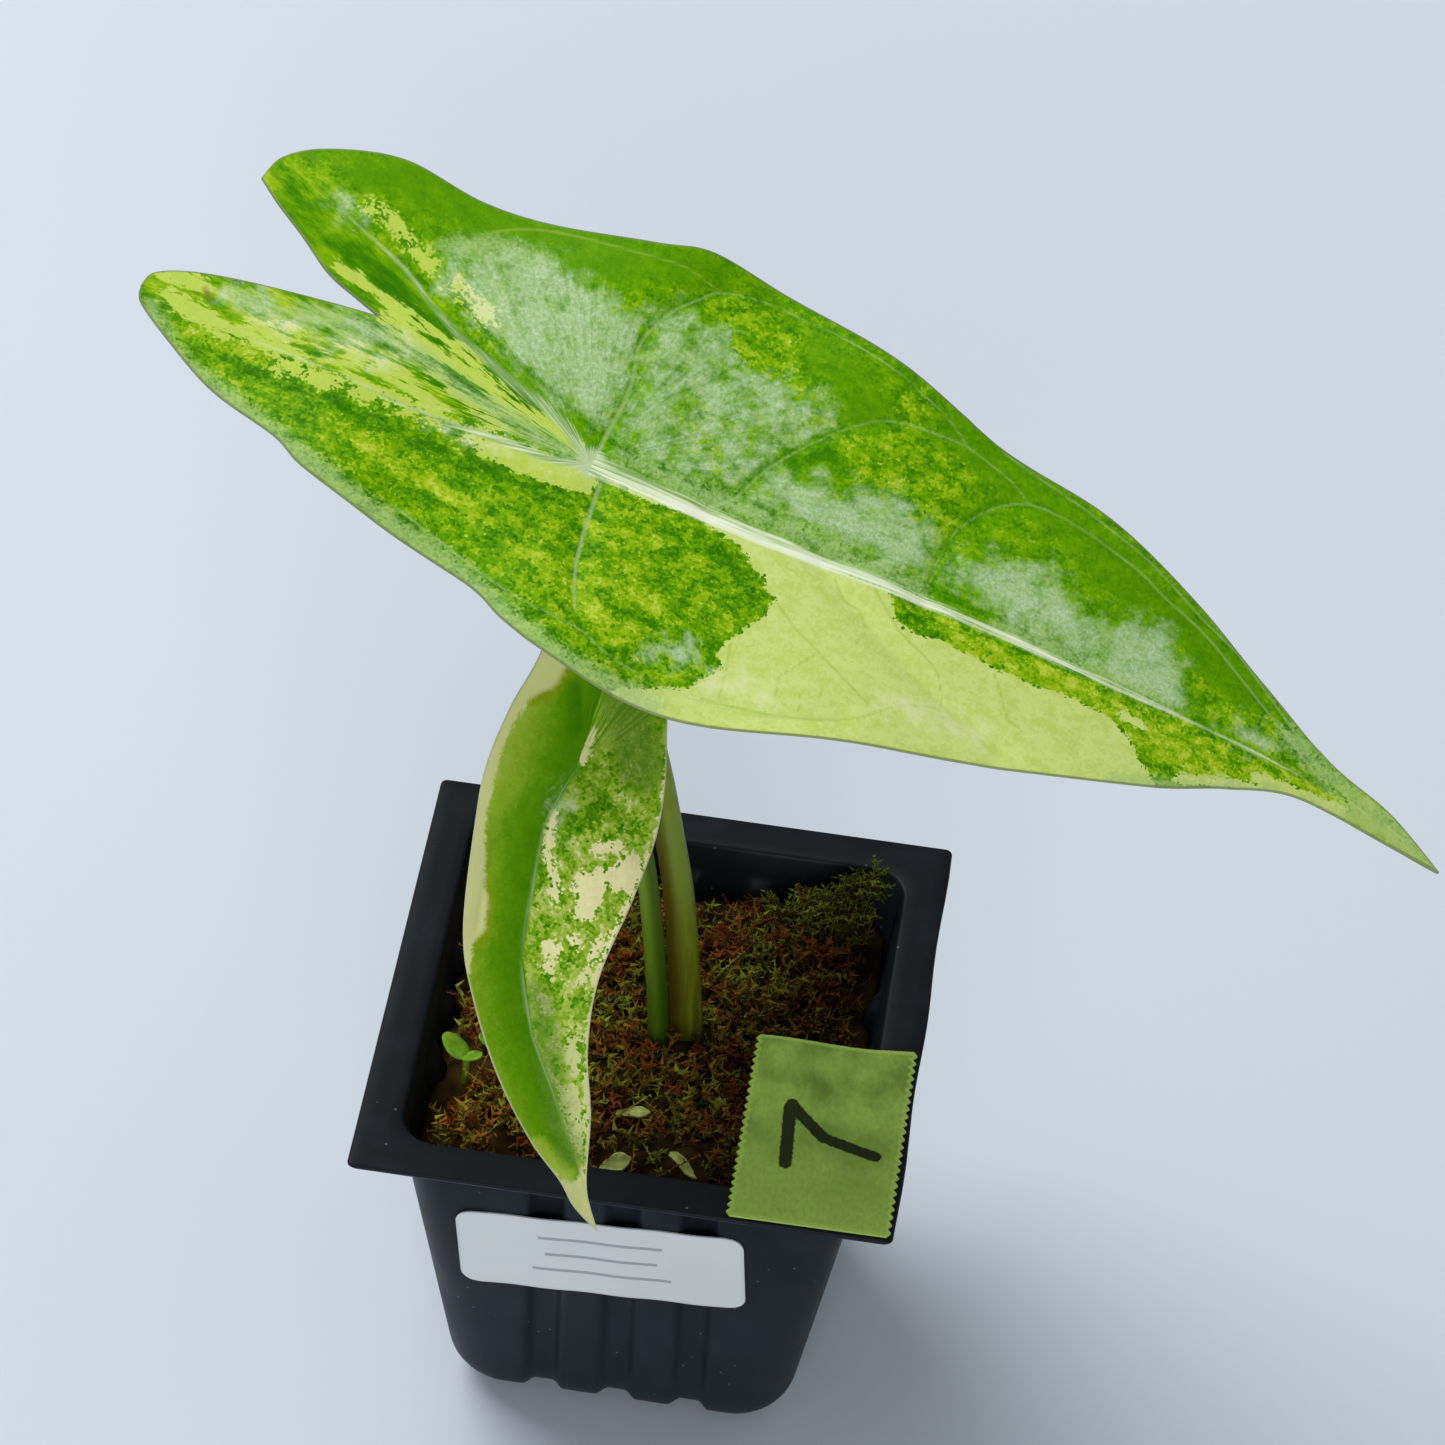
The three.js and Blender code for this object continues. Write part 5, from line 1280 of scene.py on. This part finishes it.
def leaf_skin(name, mosaic_stops, rib_stops, codes):
    """Waxy leaf skin. The pattern comes from the fields that the blade's points carry."""
    material, tree, shader = start_material(name, Specular_IOR_Level=0.09)
    field = {key: add(tree, "Attribute", attribute_name=key).outputs["Fac"] for key in FIELDS}
    spot, flow, strand = (
        add(tree, "Attribute", attribute_name=key).outputs["Vector"]
        for key in ("place", "flow", "strand")
    )

    # One uneven pattern, the same over each small group of cells, drawn out to streaks behind
    cells = add(tree, "TexVoronoi", {"Vector": spot, "Scale": CELLS})
    drawn = add(tree, "VectorMath", {0: cells.outputs["Position"], 1: (0.65, 1, 1)}, **TIMES)
    fine = {"Vector": drawn, "Scale": MOTTLE, "Detail": 6, "Roughness": 0.88}
    mottle = add(tree, "TexNoise", fine)
    drawn_out = {"Vector": flow, "Scale": STREAK, "Detail": 7, "Roughness": 0.75}
    streaks = add(tree, "TexNoise", drawn_out)
    uneven = add(tree, "Mix", {0: field["streaky"], 2: mottle, 3: streaks})
    uneven = add(tree, "Math", {0: uneven, 1: 0.48}, operation="SUBTRACT")

    # Light islands and pale patches have a sharp, jagged edge
    swing = add(tree, "Math", {0: uneven, 1: field["rough"]}, **TIMES)
    island = add(tree, "Math", {0: uneven, 1: 5, 2: field["light"]}, **TIMES_PLUS)
    island = add(tree, "MapRange", {"Value": island, 1: -0.2, 2: 0.2}, **SOFT)
    tone = add(tree, "Math", {0: island, 1: 0.05, 2: field["tone"]}, **TIMES_PLUS)
    tone = add(tree, "Math", {0: swing, 1: 3, 2: tone}, **TIMES_PLUS)
    mosaic = add(tree, "ValToRGB", {"Fac": tone})
    set_stops(mosaic, mosaic_stops)
    edge = add(tree, "Math", {0: swing, 1: 6, 2: field["pale"]}, **TIMES_PLUS)
    pale = add(tree, "MapRange", {"Value": edge, 1: -0.06, 2: 0.1}, **SOFT)
    drifts = add(tree, "MapRange", {"Value": mottle, 1: 0.42, 2: 0.6, 4: 0.5}, **SOFT)
    drifts = add(tree, "Math", {0: drifts, 1: pale}, **TIMES)

    # Whitish bloom with painted sheen, and a grey-green veil: soft edged, made of fine grains
    grain = {"Vector": spot, "Scale": GRAIN, "Detail": 6, "Roughness": 0.85}
    grain = add(tree, "TexNoise", grain)
    cloud = {"Vector": spot, "Scale": CLOUD, "Detail": 5, "Roughness": 0.7}
    cloud = add(tree, "TexNoise", cloud)
    drift = add(tree, "Mix", {0: 0.22, 2: cloud, 3: streaks})
    misty = add(tree, "Math", {0: drift, 1: 13, 2: field["bloom"]}, **TIMES_PLUS)
    misty = add(tree, "MapRange", {"Value": misty, 1: 4.9, 2: 8.4}, **SOFT)
    hairs = add(tree, "Mix", {0: 0.28, 2: grain, 3: streaks})
    flecks = add(tree, "MapRange", {"Value": hairs, 1: 0.34, 2: 0.66}, **SOFT)
    cover = add(tree, "MapRange", {"Value": flecks, 3: 0.62, 4: 0.95})
    bloom = add(tree, "Math", {0: misty, 1: cover}, **TIMES)
    veiled = add(tree, "Math", {0: uneven, 1: 6, 2: field["veil"]}, **TIMES_PLUS)
    veiled = add(tree, "MapRange", {"Value": veiled, 1: -0.8, 2: 0.9}, **SOFT)
    haze = add(tree, "MapRange", {"Value": grain, 1: 0.42, 2: 0.58, 3: 0.4, 4: 0.9}, **SOFT)
    veil = add(tree, "Math", {0: veiled, 1: haze}, **TIMES)

    # Ribs of fibres along the leaf with painted shade on the far side, thin veins, and the rim
    fibres = add(tree, "TexNoise", {"Vector": strand, "Scale": 1, "Detail": 3})
    lit = add(tree, "Math", {0: fibres, 1: field["core"]})
    rib_colour = add(tree, "ValToRGB", {"Fac": lit})
    set_stops(rib_colour, rib_stops)
    rib = add(tree, "Math", {0: fibres, 1: 0.9, 2: field["rib"]}, **TIMES_PLUS)
    rib = add(tree, "MapRange", {"Value": rib, 1: 0.12, 2: 0.8, 4: 0.95}, **SOFT)
    mark = add(tree, "MapRange", {"Value": field["mark"], 1: -0.5, 2: 0.3, 4: 0.7}, **SOFT)
    thin = {}
    for key, inner, outer, most in (
        ("net", 0.05, 0.25, 0.45), ("vein", 0.06, 0.34, 0.62), ("rim", 0.05, 0.22, 0.85)
    ):
        line = {"Value": field[key], 1: inner, 2: outer, 3: most, 4: 0}
        thin[key] = add(tree, "MapRange", line, **SOFT)

    # Bloom colours: painted sheen over the greens, painted glints over the pale patches
    golden, mist = {6: codes["golden"], 7: codes["pale"]}, {6: codes["mist"], 7: codes["bloom"]}
    pale_colour = add(tree, "Mix", {0: field["cream"], **golden}, **COLOURS)
    bloom_and_sheen_colour = add(tree, "Mix", {0: flecks, **mist}, **COLOURS)
    bloom_and_sheen_colour = add(tree, "Mix", {0: pale, 6: bloom_and_sheen_colour, 7: codes["pale_bloom_and_glint"]}, **COLOURS)
    colour = mosaic
    for mask, layer in (
        (pale, pale_colour), (drifts, codes["pale_drift"]), (thin["net"], codes["net"]),
        (veil, codes["veil"]), (bloom, bloom_and_sheen_colour), (thin["vein"], codes["vein"]),
        (rib, rib_colour), (mark, codes["mark"]), (thin["rim"], codes["rim"]),
    ):
        colour = add(tree, "Mix", {0: mask, 6: colour, 7: layer}, **COLOURS)
    gloss = add(tree, "MapRange", {"Value": grain, 1: 0.3, 2: 0.7, 3: 0.36, 4: 0.46})
    skin = add(tree, "Bump", {"Strength": 0.3, "Distance": 0.05 * MM, "Height": grain})
    plug(tree, shader, {"Base Color": colour, "Roughness": gloss, "Normal": skin})
    return material


large_skin = leaf_skin(
    "waxy_leaf_skin_mature",
    mosaic_stops=[
        (0.05, "#3C7C00"), (0.25, "#4F8D00"), (0.42, "#6DA604"), (0.55, "#88B60F"),
        (0.7, "#A4C420"), (0.95, "#C6DA54"),
    ],
    rib_stops=[(0.28, "#96B676"), (0.44, "#D8E8BC"), (0.62, "#F6FAE6")],
    codes=dict(
        pale="#D6E48E", golden="#C8DC66", pale_drift="#BAD058", net="#A5C250", mist="#A4C67C",
        bloom="#D2E4C6", pale_bloom_and_glint="#E6ECB4", veil="#B2CE8A", vein="#B4CC8C", mark="#8A6B3C",
        rim="#8E9A6A",
    ),
)
small_skin = leaf_skin(
    "waxy_leaf_skin_young",
    mosaic_stops=[
        (0.05, "#3A7402"), (0.25, "#4C8804"), (0.42, "#6DA00C"), (0.58, "#9CBB38"),
        (0.75, "#BBCC6A"), (0.95, "#D6DCA0"),
    ],
    rib_stops=[(0.32, "#4E8A2A"), (0.5, "#6C9E46"), (0.66, "#A0BE80")],
    codes=dict(
        pale="#F2EDB8", golden="#CCD48C", pale_drift="#E0DAA4", net="#5E9A1C", mist="#A9C48C",
        bloom="#D8E4D4", pale_bloom_and_glint="#F0F0E0", veil="#74963E", vein="#7FAE50", mark="#9AA018",
        rim="#C6C8A4",
    ),
)
print("leaf skins: 2")


# %% Matt underside
def underside(name, code, pale_code):
    """The lower skin has no gloss, and shows the same pale patches through a grey-green film."""
    material, tree, shader = start_material(name, Roughness=0.62)
    spot = add(tree, "Attribute", attribute_name="place").outputs["Vector"]
    pale = add(tree, "Attribute", attribute_name="pale").outputs["Fac"]
    blotches = add(tree, "TexNoise", {"Vector": spot, "Scale": 1 / 2, "Detail": 4})
    ragged = add(tree, "Math", {0: blotches, 1: 5, 2: pale}, **TIMES_PLUS)
    patch = add(tree, "MapRange", {"Value": ragged, 1: 2.3, 2: 2.7, 4: 0.85}, **SOFT)
    mottled = add(tree, "MapRange", {"Value": blotches, 1: 0.35, 2: 0.65, 4: 0.5})
    colour = code
    for mask, layer in ((mottled, "#9DB86A"), (patch, pale_code)):
        colour = add(tree, "Mix", {0: mask, 6: colour, 7: layer}, **COLOURS)
    plug(tree, shader, {"Base Color": colour})
    return material


large_under = underside("matt_leaf_underside_mature", "#7BA248", "#CFDC98")
small_under = underside("matt_leaf_underside_young", "#86A955", "#D6D9A8")
print("undersides: 2")


# %% Make the blades
def make_blade(name, leaf, solid, *materials):
    places, faces, kinds, under = blade_grid(leaf)
    along, across, normal = leaf_axes(leaf)
    height = lift_at(leaf, places) - np.where(under, depth_at(leaf, places), 0)
    points = np.array(leaf["hub"], float) + places[:, :1] * along + places[:, 1:] * across
    points = points + height[:, None] * normal
    piece = make_piece(name, points, faces, *materials, kinds=kinds)
    flat = np.column_stack([places, np.zeros(len(places))])
    store(piece.data, place=flat, **leaf_fields(leaf, places))
    keep(piece, "leaf_blade", solid)


make_blade("mature_blade", LARGE, "large_leaf_blade", large_skin, large_under)
make_blade("young_blade", SMALL, "small_leaf_blade", small_skin, small_under)

# %% [markdown]
# ## Petioles
# Each blade hangs from a fleshy stalk that rises out of the corm. The large one is olive brown at
# the foot and yellow-green above, with a sheath wing along its lower half. The small one is bright
# green. Both are tapered tubes along the solids' own lines, slightly oval, with fine ridges that
# run along them and one side that is duller than the other.


# %% Fleshy petiole skin
def petiole_skin(name, foot, top, streak_code, shade_code):
    """Smooth living skin: colour changes up the stalk, with long streaks and one duller side."""
    flesh = dict(Roughness=0.42, Subsurface_Weight=0.08, Subsurface_Scale=1 * MM)
    material, tree, shader = start_material(name, **flesh)
    up = add(tree, "Attribute", attribute_name="way").outputs["Fac"]
    shaded = add(tree, "Attribute", attribute_name="shaded").outputs["Fac"]
    place = add(tree, "TexCoord").outputs["Object"]
    drawn = add(tree, "VectorMath", {0: place, 1: (1, 1, 0.06)}, **TIMES)
    streaks = add(tree, "TexNoise", {"Vector": drawn, "Scale": 1 / (0.9 * MM), "Detail": 3})
    streak = add(tree, "MapRange", {"Value": streaks, 1: 0.45, 2: 0.65, 4: 0.6}, **SOFT)
    climb = add(tree, "MapRange", {"Value": up, 1: 0, 2: 0.75}, **SOFT)
    colour = foot
    for mask, layer in ((climb, top), (streak, streak_code), (shaded, shade_code)):
        colour = add(tree, "Mix", {0: mask, 6: colour, 7: layer}, **COLOURS)
    ridges = add(tree, "Bump", {"Strength": 0.3, "Distance": 0.1 * MM, "Height": streaks})
    plug(tree, shader, {"Base Color": colour, "Normal": ridges})
    return material


olive_skin = petiole_skin("fleshy_petiole_olive", "#5A5C0C", "#96AC34", "#7C8C1C", "#5E4C0A")
green_skin = petiole_skin("fleshy_petiole_green", "#4A660C", "#94B43C", "#76982A", "#3E5A08")
print("petiole skins: 2")

# %% Make the petioles
PETIOLES = {
    "mature_petiole": dict(
        leaf=LARGE, skin=olive_skin, solid="large_leaf_petiole", radii=[1.75, 1.6, 1.35, 1.05],
        line=[
            (3.1, 0.7, 37.9), (2.9, 0.8, 43), (2.3, 1.2, 49.5), (1, 2.1, 60), (-0.5, 3.4, 67),
            (-2.3, 5.2, 74), (-4.8, 7.2, 82), (-7.9, 9, 93), (-10.1, 9.4, 103),
        ],
        wing=[(1.7, 0.9, 38.2), (1.6, 1.1, 44), (0.9, 1.6, 51), (0.1, 2.4, 58), (-0.4, 2.9, 63)],
    ),
    "young_petiole": dict(
        leaf=SMALL, skin=green_skin, solid="small_leaf_petiole", radii=[1.15, 1.1, 0.95, 0.75],
        line=[
            (0.35, -0.85, 37.9), (0.15, -0.9, 44), (-0.5, -0.95, 52), (-1.5, -1, 61),
            (-2.6, -1.3, 69), (-4.3, -2.6, 77), (-6.6, -5, 83.5),
        ],
        wing=None,
    ),
}
for name, petiole in PETIOLES.items():
    under_hub = np.array(petiole["leaf"]["hub"]) - 0.8 * leaf_axes(petiole["leaf"])[2]
    parts = [tube([*petiole["line"], under_hub], petiole["radii"], sides=28, steps=130)]
    if petiole["wing"]:
        wing_radii = [0.75, 0.6, 0.5, 0.25]
        parts.append(tube(petiole["wing"], wing_radii, sides=16, steps=50, oval=0.7))
    points, faces = joined(parts)
    stalk = make_piece(name, points, faces, petiole["skin"])
    x, z = points[:, 0], points[:, 2]
    line = np.array(petiole["line"])
    west = np.interp(z, line[:, 2], line[:, 0]) - x
    shade = (west if petiole["wing"] else -west) / petiole["radii"][0]
    climb = (z - z.min()) / (z.max() - z.min())
    store(stalk.data, way=climb, shaded=0.85 * smooth(0.4 + shade))
    keep(stalk, "petiole_skin", petiole["solid"])

# %% [markdown]
# ## Tape flag
# A piece of green crepe paper tape was torn off a toothed cutter and pressed over the front right
# corner of the flange. Its two ends have the cutter's teeth, its crepe runs across it, and its
# inner corner lifts over the mouth, where it is darker with damp and with painted shade, while the
# part on the flange is painted lighter. It carries one hand-inked numeral. A fine grid holds the
# teeth and the lift, and the ink is a distance to the pen's strokes, kept on the points.

# %% Shape of the tape
GLUE_GAP = 0.1
TAPE = dict(
    left=10.6, right=27.1, front=-27.2, back=-3.2, front_skew=0.12, back_skew=1.9,
    thickness=0.25, teeth=24, tooth_depth=0.4, lift=1.5,
)
INK_STROKES = [
    [(15.6, -19.6), (15.2, -12.6), (15.4, -12.1)],
    [(15.4, -12.3), (19, -15.6), (24.4, -17)],
]
columns, rows = 84, 10 * TAPE["teeth"]
s, t = grid_of(np.linspace(0, 1, columns + 1), np.linspace(0, 1, rows + 1))
torn = np.abs((t * TAPE["teeth"]) % 1 - 0.5) * 2 * TAPE["tooth_depth"]
x = mix(TAPE["left"] + torn, TAPE["right"] - torn, s)
skew = mix(TAPE["front_skew"] * s, TAPE["back_skew"] * (s - 0.5), t)
y = mix(TAPE["front"], TAPE["back"], t) + skew
over_x = np.maximum(0, (MOUTH_HALF - x) / (MOUTH_HALF - TAPE["left"]))
over_y = np.maximum(0, (y + MOUTH_HALF) / (TAPE["back"] + MOUTH_HALF))
crepe = 0.05 * clumps(x * 3, y * 0.6, 1.2, 51) + 0.03 * clumps(x * 4, y, 0.8, 52)
z = HEIGHT + GLUE_GAP + TAPE["lift"] * smooth(over_x) * smooth(over_y)


def sheet(top, bottom, columns, rows):
    """Points and faces of a thin closed sheet between two grids."""
    wide = columns + 1
    corner = (np.arange(rows)[:, None] * wide + np.arange(columns)).ravel()
    quads = np.stack([corner, corner + 1, corner + wide + 1, corner + wide], 1)
    shift = len(top)
    faces = quads.tolist() + (quads[:, ::-1] + shift).tolist()
    loop = [*range(columns), *range(columns, rows * wide + columns, wide)]
    loop += [*range(rows * wide + columns, rows * wide, -1), *range(rows * wide, 0, -wide)]
    faces += [[a, a + shift, b + shift, b] for a, b in zip(loop, loop[1:] + loop[:1])]
    return np.vstack([top, bottom]), faces


top = np.column_stack([x, y, z + TAPE["thickness"] + crepe])
points, faces = sheet(top, np.column_stack([x, y, z]), columns, rows)
print("tape points:", len(points))

# %% Green crepe paper
dull = dict(Roughness=0.72, Specular_IOR_Level=0.2)
crepe_paper, tree, shader = start_material("green_crepe_paper", **dull)
place = add(tree, "TexCoord").outputs["Object"]
ribbed = add(tree, "VectorMath", {0: place, 1: (1, 0.55, 1)}, **TIMES)
wrinkles = add(tree, "TexNoise", {"Vector": ribbed, "Scale": 1 / (0.45 * MM), "Detail": 3})
stains = add(tree, "TexNoise", {"Vector": place, "Scale": 1 / (5 * MM), "Detail": 5})
fibre = add(tree, "TexNoise", {"Vector": place, "Scale": 1 / (0.3 * MM), "Detail": 2})
damp = add(tree, "MapRange", {"Value": stains, 1: 0.32, 2: 0.68, 4: 0.75}, **SOFT)
# Damp stains with painted shade: they fade towards the front, so the part on the flange is lighter
along = add(tree, "SeparateXYZ", {"Vector": place}).outputs["Y"]
soaked_and_shaded = add(tree, "MapRange", {"Value": along, 1: -24 * MM, 2: -10 * MM, 3: 0.2, 4: 1})
damp = add(tree, "Math", {0: damp, 1: soaked_and_shaded}, **TIMES)
lines = add(tree, "MapRange", {"Value": wrinkles, 1: 0.42, 2: 0.62, 4: 0.35}, **SOFT)
pen = add(tree, "Attribute", attribute_name="ink").outputs["Fac"]
ink = add(tree, "Math", {0: fibre, 1: -0.35, 2: pen}, **TIMES_PLUS)
ink = add(tree, "MapRange", {"Value": ink, 1: 0.42, 2: 0.56, 3: 0.92, 4: 0}, **SOFT)
cut = add(tree, "Attribute", attribute_name="edge").outputs["Fac"]
edge = add(tree, "MapRange", {"Value": cut, 1: 0.2, 2: 0.6, 3: 0.7, 4: 0}, **SOFT)
colour = "#9DBB5C"
for mask, layer in ((lines, "#87A44A"), (damp, "#5C7832"), (edge, "#AAC466"), (ink, "#17130F")):
    colour = add(tree, "Mix", {0: mask, 6: colour, 7: layer}, **COLOURS)
crinkle = add(tree, "Bump", {"Strength": 0.5, "Distance": 0.12 * MM, "Height": wrinkles})
plug(tree, shader, {"Base Color": colour, "Normal": crinkle})

flag = make_piece("crepe_tape", points, faces, crepe_paper, crisp=True)
to_pen = np.min([distance_to(points[:, :2], line) for line in INK_STROKES], axis=0)
to_end = np.minimum(s, 1 - s) * (TAPE["right"] - TAPE["left"])
to_side = np.minimum(t, 1 - t) * (TAPE["back"] - TAPE["front"])
store(flag.data, ink=to_pen, edge=np.tile(np.minimum(to_end, to_side), 2))
keep(flag, "tape_paper", "tape_flag")

# %% [markdown]
# ## Paper label
# A white self-adhesive label sits on the front wall, bridging the flutes, turned by a few
# degrees. Its printing is left out: three plain ruled lines stand in the same place. The paper has
# a weak sheen, a soft shade along its cut edge and a slight lift where it crosses a flute.

# %% Shape of the label
LABEL = dict(width=29.6, height=12.8, corner=1.9, thickness=0.16, centre=(-2, 30.1), turn=3.6)
RULES = [(3, 6.4), (0.1, 5.8), (-2.7, 7.2)]
RULE_THICKNESS = 0.48
columns, rows = 190, 84
s, t = grid_of(np.linspace(-1, 1, columns + 1), np.linspace(-1, 1, rows + 1))
half_w, half_h, corner = LABEL["width"] / 2, LABEL["height"] / 2, LABEL["corner"]
across = t * half_h
cut_in = np.maximum(0, np.abs(across) - (half_h - corner))
along = s * (half_w - corner + np.sqrt(np.maximum(0, corner**2 - cut_in**2)))
bulge = GLUE_GAP + 0.05 * np.cos(2 * np.pi * (along - 2) / FLUTE_PITCH)
lean = np.arctan((WALL_HALF[1] - WALL_HALF[0]) / UNDER_RIM)
centre_x, centre_z = LABEL["centre"]
tilt = Matrix.Translation((centre_x, -wall_half(centre_z), centre_z))
tilt = tilt @ Matrix.Rotation(np.pi / 2 + lean, 4, "X")
tilt = np.array(tilt @ Matrix.Rotation(np.radians(LABEL["turn"]), 4, "Z"))


def on_wall(height):
    """The label's grid at a height over the wall."""
    flat = np.column_stack([along, across, height, np.ones(len(along))])
    return (flat @ tilt.T)[:, :3]


points, faces = sheet(on_wall(bulge + LABEL["thickness"]), on_wall(bulge), columns, rows)
print("label points:", len(points))

# %% White coated paper
coated_paper, tree, shader = start_material("white_coated_paper", Roughness=0.5)
place = add(tree, "TexCoord").outputs["Object"]
pulp = add(tree, "TexNoise", {"Vector": place, "Scale": 1 / (0.25 * MM), "Detail": 3})
cloud = add(tree, "TexNoise", {"Vector": place, "Scale": 1 / (8 * MM), "Detail": 2})
printed = add(tree, "Attribute", attribute_name="ruled").outputs["Fac"]
toner = add(tree, "MapRange", {"Value": printed, 1: -0.05, 2: 0.05, 3: 0.75, 4: 0}, **SOFT)
border = add(tree, "Attribute", attribute_name="border").outputs["Fac"]
grey_edge = add(tree, "MapRange", {"Value": border, 1: 0.1, 2: 0.5, 3: 0.35, 4: 0}, **SOFT)
colour = "#D6DADB"
for mask, layer in ((cloud, "#CED2D4"), (grey_edge, "#B8BEC4"), (toner, "#8C9197")):
    colour = add(tree, "Mix", {0: mask, 6: colour, 7: layer}, **COLOURS)
tooth = add(tree, "Bump", {"Strength": 0.2, "Distance": 0.03 * MM, "Height": pulp})
plug(tree, shader, {"Base Color": colour, "Normal": tooth})

label = make_piece("paper_label", points, faces, coated_paper, crisp=True)
in_rule = [
    np.maximum(np.abs(along) - half, np.abs(across - height) - RULE_THICKNESS / 2)
    for height, half in RULES
]
in_rule = np.clip(np.min(in_rule, axis=0), -1, 1)
to_border = np.minimum(half_h - np.abs(across), half_w - np.abs(along))
store(label.data, ruled=np.tile(in_rule, 2), border=np.tile(to_border, 2))
keep(label, "label_paper", "label")

# %% [markdown]
# ## Seedlings, scraps and corm
# Two bright seedlings and four pale scraps of old leaf sheath lie on the moss. They are only a few
# millimetres long, so each is one small closed form: a cupped oval pad on a thin stalk, and a bent
# flake that follows the bed. The corm is hidden in the moss, so its solid stays and gets bark.


# %% Fresh green and dry straw finishes
def mottled_skin(name, low, high, size, roughness):
    """A soft living or dried skin with mottling of a given size in millimetres."""
    material, tree, shader = start_material(name, Roughness=roughness)
    place = add(tree, "TexCoord").outputs["Object"]
    mottle = add(tree, "TexNoise", {"Vector": place, "Scale": 1 / (size * MM), "Detail": 4})
    ramp = add(tree, "ValToRGB", {"Fac": mottle})
    set_stops(ramp, [(0.35, low), (0.65, high)])
    relief = add(tree, "Bump", {"Strength": 0.4, "Distance": 0.1 * MM, "Height": mottle})
    plug(tree, shader, {"Base Color": ramp, "Normal": relief})
    return material


fresh_green = mottled_skin("fresh_seedling_leaf", "#6C9A18", "#8CB830", 0.8, 0.45)
dry_sheath = mottled_skin("dry_leaf_sheath", "#98A250", "#BAC276", 0.7, 0.7)
corm_bark = mottled_skin("fibrous_corm_bark", "#2E1D10", "#6B4A2B", 1.4, 0.85)
print("small finishes: 3")


# %% Seedlings
def oval_pad(centre, size, heading, sides=24, steps=10):
    """A cupped oval leaf, thin, raised at its outer end."""
    turn = 2 * np.pi * np.arange(sides) / sides
    rings = []
    for level in np.linspace(-80, 80, steps):
        flat, high = np.cos(np.radians(level)), np.sin(np.radians(level))
        x = size * flat * np.cos(turn) + 0.8 * size
        y = 0.72 * size * flat * np.sin(turn) * (1 - 0.12 * np.cos(turn))
        z = 0.3 * high + 0.18 * (x / size) ** 2 - 0.12 * bell(y, 0.35)
        rings.append(np.stack([x, y, z], 1))
    points, faces = loft(rings)
    up = Matrix.Rotation(np.radians(heading), 3, "Z") @ Matrix.Rotation(np.radians(-22), 3, "Y")
    return points @ np.array(up).T + centre, faces


for name, seedling in SEEDLINGS.items():
    x, y = seedling["place"]
    foot, top = float(plain_height(x, y)) - 0.3, seedling["top"]
    size, heading = seedling["leaf"], seedling["heading"]
    stalk = [(x, y, foot), (x + 0.1, y, mix(foot, top, 0.5)), (x, y, top)]
    points, faces = joined([
        tube(stalk, [0.45, 0.35], sides=12, steps=8),
        oval_pad((x, y, top), size, heading),
        oval_pad((x, y, top), 0.8 * size, heading + 165),
    ])
    keep(make_piece(name + "_leaves", points, faces, fresh_green), "seedling_leaf", name)

# %% Scraps
SCRAP_SIDES, SCRAP_RINGS = 36, 9
SCRAP_THICKNESS = 0.3
turn = 2 * np.pi * np.arange(SCRAP_SIDES) / SCRAP_SIDES
ragged = 1 + 0.07 * np.sin(5 * turn + 1) + 0.05 * np.sin(9 * turn)
for name, scrap in SCRAPS.items():
    heading = np.radians(scrap["heading"])
    levels = []
    for share in np.linspace(1, 1 / SCRAP_RINGS, SCRAP_RINGS):
        u = 0.5 * scrap["length"] * share * np.cos(turn) * ragged
        v = 0.5 * scrap["width"] * share * np.sin(turn) * ragged - scrap["bend"] * (u / 2) ** 2
        x = scrap["place"][0] + np.cos(heading) * u - np.sin(heading) * v
        y = scrap["place"][1] + np.sin(heading) * u + np.cos(heading) * v
        levels.append(np.stack([x, y, plain_height(x, y) + 0.8 + 0.25 * share**2], 1))
    upper = [ring + (0, 0, SCRAP_THICKNESS) for ring in levels[::-1]]
    points, faces = loft([*upper, *levels])
    keep(make_piece(name + "_flake", points, faces, dry_sheath), "scrap_fibre", name)

# %% Corm bark
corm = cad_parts["corm"]
corm.data.materials.clear()
corm.data.materials.append(corm_bark)
print("corm: the solid stays, with bark")
